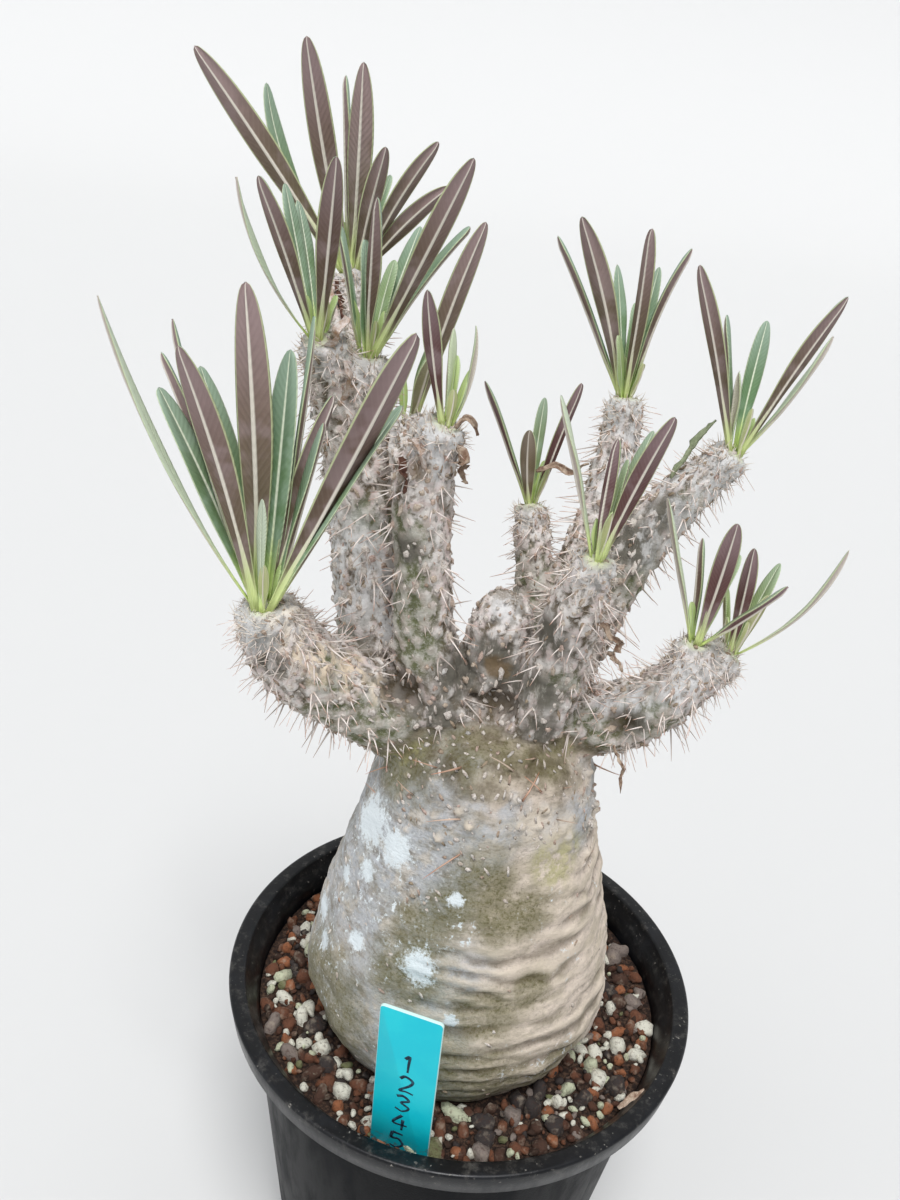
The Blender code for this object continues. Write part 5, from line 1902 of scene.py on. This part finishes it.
@dataclass
class Soil:
    """The soil: a bed of fines with coarse grains lying on it."""

    top: float = 91.2 * MM
    low: float = 2.6 * MM
    top_radius: float = 52.0 * MM
    low_radius: float = 41.2 * MM
    hole_radius: float = 33 * MM
    sides: int = 140
    rows: int = 34

    def build(self) -> list[Object]:
        """Build the soil's pieces.

        Returns:
            The bed, the coarse grains and the grit between them.
        """
        bed = self.bed()
        ring = self.ring()
        stones = pebbles("stone", 0, 0.4, (
            (1.15, 0.95, 0.85), (1.2, 0.8, 0.75), (1.05, 1, 0.9), (1.3, 0.85, 0.8), (1, 0.9, 0.95),
            (1.3, 0.7, 0.6)), 9)
        coarse = Scatter("soil_grains", "full", (1.7 * MM, 3.3 * MM), seed=3, spacing=3.6 * MM,
                         density=1.6e5, wander=0.9, lift=0.4 * MM, shapes=stones)
        grains = coarse.grow(ring, GrainFinish().paint())
        chips = pebbles("chip", 20, 0.4, ((1.2, 0.9, 0.7), (1.2, 0.7, 0.8), (1, 1, 0.8)), 5)
        fine = Scatter("soil_grit", "full", (0.5 * MM, 1.5 * MM), seed=9, spacing=1.7 * MM,
                       density=6e5, wander=0.9, lift=0.8 * MM, shapes=chips)
        dark = GrainFinish(
            "soil_grit", clay=rgb(116, 76, 56), clay_dark=rgb(88, 60, 48), brown=rgb(66, 50, 42))
        grit = fine.grow(ring, dark.paint())
        drop(ring)
        return [bed, grains, grit]

    def bed(self) -> Object:
        """Fill the pot with one closed body with an uneven top.

        Returns:
            The bed.
        """
        top = [(self.top_radius * i / self.rows, self.top) for i in range(self.rows + 1)]
        profile = [*top, (self.low_radius, self.low), (0, self.low)]
        mesh = turned("soil_bed", profile, self.sides)
        places = vectors(mesh.vertices, "co")
        upper = ease(places[:, 2], self.top - MM, self.top)
        places[:, 2] += upper * 0.5 * MM * noise_at(places, 2.4 * MM, 11, 2)
        move(mesh, places)
        return add_object("soil_bed", mesh, [EarthFinish().paint()])

    def ring(self) -> Object:
        """Surface that the grains lie on, open in the middle where the caudex stands.

        Returns:
            The surface, whose attribute "full" is 1 all over.
        """
        work = bmesh.new()
        rows = []
        for radius, centre in ((self.hole_radius, CAUDEX_AXIS), (self.top_radius - 1.6 * MM, (0, 0))):
            middle = Vector((centre[0] * MM, centre[1] * MM, self.top))
            rows.append([work.verts.new(point) for point in circle(middle, UP, radius, self.sides)])
        for i in range(self.sides):
            j = (i + 1) % self.sides
            work.faces.new((rows[0][i], rows[1][i], rows[1][j], rows[0][j]))
        bmesh.ops.recalc_face_normals(work, faces=work.faces)
        if next(iter(work.faces)).normal.z < 0:
            bmesh.ops.reverse_faces(work, faces=work.faces)
        mesh = finished("soil_ring", work)
        store(mesh, "full", np.ones(len(mesh.vertices)))
        return add_object("soil_ring", mesh)


@dataclass
class Pot:
    """The round black nursery pot with its turned-down lip and drain holes."""

    height: float = 100 * MM
    lip_radius: float = 60 * MM
    lip_width: float = 3.8 * MM
    skirt: float = 7 * MM
    wall_top: float = 53.6 * MM
    wall_base: float = 42.5 * MM
    wall: float = 1.2 * MM
    floor: float = 2 * MM
    neck_rise: float = 3.6 * MM
    lip_top: float = 1.7 * MM
    lip_skin: float = 1.1 * MM
    edge: float = 0.8 * MM
    sides: int = 160
    holes: int = 6
    hole_radius: float = 4 * MM
    hole_circle: float = 29 * MM

    def wall_radius(self, height: float) -> float:
        """Outer radius of the wall at a height."""
        return self.wall_base + (self.wall_top - self.wall_base) * height / (self.height - self.skirt)

    def corner(self, centre: Sequence[float], radius: float, start: float, end: float) -> Profile:
        """Points of a rounded corner in the profile, between two angles in degrees."""
        angles = [math.radians(start + (end - start) * i / 4) for i in range(5)]
        return [(centre[0] + radius * math.cos(a), centre[1] + radius * math.sin(a)) for a in angles]

    def profile(self) -> Profile:
        """Section of the pot: the inside up, over the lip, and the outside down to the foot.

        Returns:
            Its (radius, height) points.
        """
        neck = self.height - self.skirt
        inner = self.lip_radius - self.lip_width
        skirt = self.lip_radius - 1 * MM
        top, under = self.height - self.edge, self.height - self.lip_top
        low, high, base = self.wall_radius(self.floor), self.wall_top, self.wall_base
        inside = [
            (0, self.floor), (low - self.wall - MM, self.floor), (low - self.wall, self.floor + MM),
            (high - self.wall, neck), (high - 0.3 * MM, neck + self.neck_rise * 0.7),
            (high + 0.5 * MM, neck + self.neck_rise)]
        lip = [
            *self.corner((inner + self.edge * 0.4, top), self.edge, 170, 90),
            *self.corner((self.lip_radius - self.edge, top), self.edge, 90, 0),
            (skirt + 0.1 * MM, neck + 0.5 * MM), (skirt - 0.3 * MM, neck), (skirt - self.lip_skin, neck),
            (self.lip_radius - self.lip_skin - 0.6 * MM, under), (inner, under)]
        outside = [
            (high + self.wall, neck + self.neck_rise - 0.5 * MM), (high, neck - 0.5 * MM),
            (base + 0.1 * MM, 1.4 * MM), (base - 0.4 * MM, 0.4 * MM), (base - MM, 0), (0, 0)]
        return inside + lip + outside

    def build(self) -> list[Object]:
        """Turn the shell and cut its drain holes.

        Returns:
            The shell.
        """
        shell = add_object("pot_shell", turned("pot_shell", self.profile(), self.sides))
        cutters = []
        for index in range(self.holes):
            angle = 2 * math.pi * (index + 0.5) / self.holes
            centre = Vector((math.cos(angle), math.sin(angle), 0)) * self.hole_circle
            ends = [circle(centre + UP * level, UP, self.hole_radius, 24) for level in (-MM, self.floor + MM)]
            cutter = add_object(f"drain_{index}", clean(loft("drain", ends)))
            cutters.append(cutter)
            hole = shell.modifiers.new("Drain", "BOOLEAN")
            hole.operation = "DIFFERENCE"
            hole.object = cutter
        mesh = evaluated_mesh(shell)
        for obj in (shell, *cutters):
            drop(obj)
        pot = add_object("pot_shell", mesh, [PotFinish().paint()])
        mesh.set_sharp_from_angle(angle=math.radians(40))
        return [pot]


@dataclass
class Label:
    """The plant label that stands in the soil."""

    width: float = 14 * MM
    height: float = 62 * MM
    point: float = 8 * MM
    thickness: float = 0.8 * MM
    corner: float = 1.0 * MM
    foot: tuple[float, float, float] = (-10.8 * MM, -47.8 * MM, 77 * MM)
    yaw: float = math.radians(-15)
    lean: float = math.radians(4)

    def outline(self) -> Profile:
        """Corners of the label: a pointed foot and a square top with small round corners.

        Returns:
            Their (x, y) places, counted from the foot's point.
        """
        half = self.width / 2
        points = [(0.0, 0.0), (half, self.point)]
        for step in range(7):
            angle = math.radians(15 * step)
            side = half - self.corner * (1 - math.cos(angle))
            points.append((side, self.height - self.corner * (1 - math.sin(angle))))
        return points + [(-x, y) for x, y in reversed(points[1:])]

    def stand(self) -> Matrix:
        """Where the label stands: turned, leaning and pushed into the soil."""
        turn = Matrix.Rotation(self.yaw, 4, "Z") @ Matrix.Rotation(self.lean, 4, "X")
        return Matrix.Translation(self.foot) @ turn

    def build(self) -> list[Object]:
        """Cut the plate, soften its edges and stand it in the soil.

        Returns:
            The plate.
        """
        work = bmesh.new()
        face = work.faces.new([work.verts.new((x, -self.thickness / 2, y)) for x, y in self.outline()])
        grown = bmesh.ops.extrude_face_region(work, geom=[face])
        moved = [item for item in grown["geom"] if isinstance(item, bmesh.types.BMVert)]
        bmesh.ops.translate(work, verts=moved, vec=(0, self.thickness, 0))
        rims = [edge for edge in work.edges if abs(edge.verts[0].co.y - edge.verts[1].co.y) < 0.01 * MM]
        bmesh.ops.bevel(work, geom=rims, offset=0.14 * MM, segments=2, profile=0.5, affect="EDGES")
        bmesh.ops.recalc_face_normals(work, faces=work.faces)
        mesh = finished("label_plate", work)
        # Cut edges, which the finish lays paler, partly as painted highlight
        face = self.thickness / 2 - 0.02 * MM
        edge = np.array([float(abs(vertex.co.y) < face) for vertex in mesh.vertices])
        store(mesh, "edge", edge)
        mesh.transform(self.stand())
        plate = add_object("label_plate", mesh, [LabelFinish().paint()])
        mesh.set_sharp_from_angle(angle=math.radians(35))
        return [plate]


@dataclass
class Numerals:
    """Plain numerals drawn in ink down the label's face, one below the other."""

    label: Label
    height: float = 5.4 * MM
    width: float = 3.8 * MM
    pitch: float = 6.9 * MM
    top: float = 50 * MM
    pen: float = 0.36 * MM
    seed: int = 6

    STROKES = (
        [[(0.3, 0.8), (0.55, 1), (0.52, 0.5), (0.5, 0)]],
        [[(0.1, 0.8), (0.4, 1), (0.85, 0.82), (0.7, 0.5), (0.1, 0.04), (0.5, 0.06), (0.95, 0)]],
        [[(0.1, 0.9), (0.5, 1), (0.85, 0.78), (0.4, 0.54), (0.88, 0.3), (0.5, 0), (0.05, 0.12)]],
        [[(0.6, 1), (0.08, 0.38), (0.95, 0.36)], [(0.68, 0.7), (0.64, 0)]],
        [[(0.2, 1), (0.15, 0.6), (0.6, 0.62), (0.88, 0.3), (0.5, 0), (0.08, 0.08)], [(0.2, 1), (0.85, 0.97)]],
    )

    def build(self) -> list[Object]:
        """Draw each numeral's strokes as thin bars sunk half into the label's face.

        Returns:
            The numerals as one object.
        """
        rng = random.Random(self.seed)
        meshes = []
        for index, strokes in enumerate(self.STROKES):
            left = rng.uniform(-0.6, 0.6) * MM - self.width / 2
            shift = Vector((left, self.top - (index + 1) * self.pitch))
            for stroke in strokes:
                corners = [Vector((x * self.width, y * self.height)) + shift for x, y in stroke]
                meshes.append(self.stroke(catmull(corners, 5)))
        mesh = joined("label_numerals", meshes)
        mesh.transform(self.label.stand())
        return [add_object("label_numerals", mesh, [InkFinish().paint()])]

    def stroke(self, line: list[Vector]) -> Mesh:
        """Run a thin bar along a line on the label's face.

        Args:
            line: Points on the face, counted from the foot's point.

        Returns:
            The bar.
        """
        face = -self.label.thickness / 2
        rings = []
        for index, point in enumerate(line):
            ahead = line[min(index + 1, len(line) - 1)] - line[max(index - 1, 0)]
            side = Vector((-ahead.y, ahead.x)).normalized() * self.pen * (1.15 - 0.5 * index / len(line))
            left, right = point + side, point - side
            over, under = face - 0.03 * MM, face + 0.05 * MM
            corners = ((left, over), (right, over), (right, under), (left, under))
            rings.append([Vector((end.x, depth, end.y)) for end, depth in corners])
        return clean(loft("stroke", rings))


@dataclass
class Studio:
    """Plain pale floor, soft lights and a camera at the photograph's viewing angle."""

    floor_colour: Colour = rgb(212, 212, 210)
    floor_size: float = 8.0
    floor_back: float = 1.6
    bend: float = 1.2
    focal: float = 1130.0
    frame_height: float = 1200.0
    sensor: float = 24.0
    place: tuple[float, float, float] = (-14.5 * MM, -217.5 * MM, 324.5 * MM)
    pitch: float = math.radians(28.1)
    roll: float = math.radians(-6.9)

    def build(self) -> None:
        """Set up the floor, the lights, the world and the camera."""
        finish = Paint("studio_floor", 0.8, 0.2).dress(self.floor_colour)
        add_object("studio_floor", self.sweep(), [finish])
        self.sun("key", (0.05, -0.5, 1.1), 2.6, 24, (0.985, 0.985, 1.0))
        self.sun("fill", (-0.8, -0.5, 0.6), 0.45, 60, (0.95, 0.97, 1.0))
        bpy.context.scene.world = self.room()
        bpy.context.scene.view_settings.view_transform = "Standard"
        self.camera()

    def room(self) -> bpy.types.World:
        """Even light from all round, which looks as pale as the floor past the floor's edge.

        Returns:
            The world.
        """
        world = bpy.data.worlds.new("studio")
        world.use_nodes = True
        net = Net(world.node_tree)
        light = net.add("ShaderNodeBackground", {"Color": (0.90, 0.93, 1.0, 1), "Strength": 0.46})
        backdrop = net.add("ShaderNodeBackground", {"Color": (0.82, 0.83, 0.84, 1)})
        seen = net.add("ShaderNodeLightPath").outputs["Is Camera Ray"]
        either = net.add("ShaderNodeMixShader", {0: seen, 1: light.outputs[0], 2: backdrop.outputs[0]})
        net.feed(world.node_tree.nodes["World Output"].inputs["Surface"], either.outputs[0])
        return world

    def sweep(self) -> Mesh:
        """Floor that curves up into a plain wall behind.

        Returns:
            The floor's mesh.
        """
        profile = [(-self.floor_size, 0.0), (self.floor_back, 0.0)]
        for step in range(1, 17):
            angle = math.radians(90 * step / 16)
            profile.append((self.floor_back + self.bend * math.sin(angle), self.bend * (1 - math.cos(angle))))
        profile.append((self.floor_back + self.bend, self.floor_size))
        points, faces = [], []
        for y, z in profile:
            points += [(-self.floor_size, y, z - 0.2 * MM), (self.floor_size, y, z - 0.2 * MM)]
        for row in range(len(profile) - 1):
            faces.append((2 * row, 2 * row + 1, 2 * row + 3, 2 * row + 2))
        mesh = bpy.data.meshes.new("floor")
        mesh.from_pydata(points, [], faces)
        return mesh

    def sun(self, name: str, place: Sequence[float], strength: float, angle: float,
            tint: Sequence[float]) -> None:
        """Add one soft distant light.

        Args:
            name: Name of the light.
            place: Direction that it shines from.
            strength: Its strength.
            angle: How wide it is in degrees, which softens its shadows.
            tint: Its colour.
        """
        data = bpy.data.lights.new(name, "SUN")
        data.energy = strength
        data.angle = math.radians(angle)
        data.color = tint
        lamp = bpy.data.objects.new(name, data)
        lamp.matrix_world = (-Vector(place)).to_track_quat("-Z", "Y").to_matrix().to_4x4()
        bpy.context.scene.collection.objects.link(lamp)

    def camera(self) -> None:
        """Add the camera, pitched down and rolled as the photograph's was."""
        forward = Vector((0, math.cos(self.pitch), -math.sin(self.pitch)))
        level = Vector((1, 0, 0))
        down = forward.cross(level)
        right = math.cos(self.roll) * level + math.sin(self.roll) * down
        below = math.cos(self.roll) * down - math.sin(self.roll) * level
        matrix = Matrix((right, -below, -forward)).transposed().to_4x4()
        matrix.translation = self.place
        data = bpy.data.cameras.new("camera")
        data.sensor_fit = "VERTICAL"
        data.sensor_height = self.sensor
        data.lens = self.focal / self.frame_height * self.sensor
        data.clip_start = 0.01
        camera = bpy.data.objects.new("camera", data)
        camera.matrix_world = matrix
        bpy.context.scene.collection.objects.link(camera)
        bpy.context.scene.camera = camera


def hand_over(pieces: Iterable[Object], slot: Slot, node: str | None = None) -> None:
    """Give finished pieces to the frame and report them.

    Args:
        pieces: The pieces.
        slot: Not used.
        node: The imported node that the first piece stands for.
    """
    for index, piece in enumerate(pieces):
        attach(piece, BODY)
        if node and index == 0:
            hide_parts(node)
        LOG.info("%s: %d faces", piece.name, len(piece.data.polygons))


def main() -> None:
    """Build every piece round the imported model."""
    logging.basicConfig(level=logging.INFO, format="%(message)s")
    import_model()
    Studio().build()
    hand_over(Pot().build(), Slot.POT, "pot")
    hand_over(Soil().build(), Slot.SOIL, "soil")
    label = Label()
    hand_over(label.build() + Numerals(label).build(), Slot.LABEL, "label")
    skin, *growth = Caudex().build()
    skin.data.materials.append(BarkFinish().paint())
    hand_over([skin, *growth], Slot.BARK, "caudex")
    upper, under = UPPER_LEAF.paint(), UNDER_LEAF.paint()
    for name in LEAVES:
        hand_over([Tuft(name).build(upper, under)], Slot.LEAF, f"leaves_{name}")
    for finish, slot, leaves in DRY_GROUPS:
        material = finish.paint()
        hand_over([leaf.build(material) for leaf in leaves], slot)


if __name__ == "__main__":
    main()
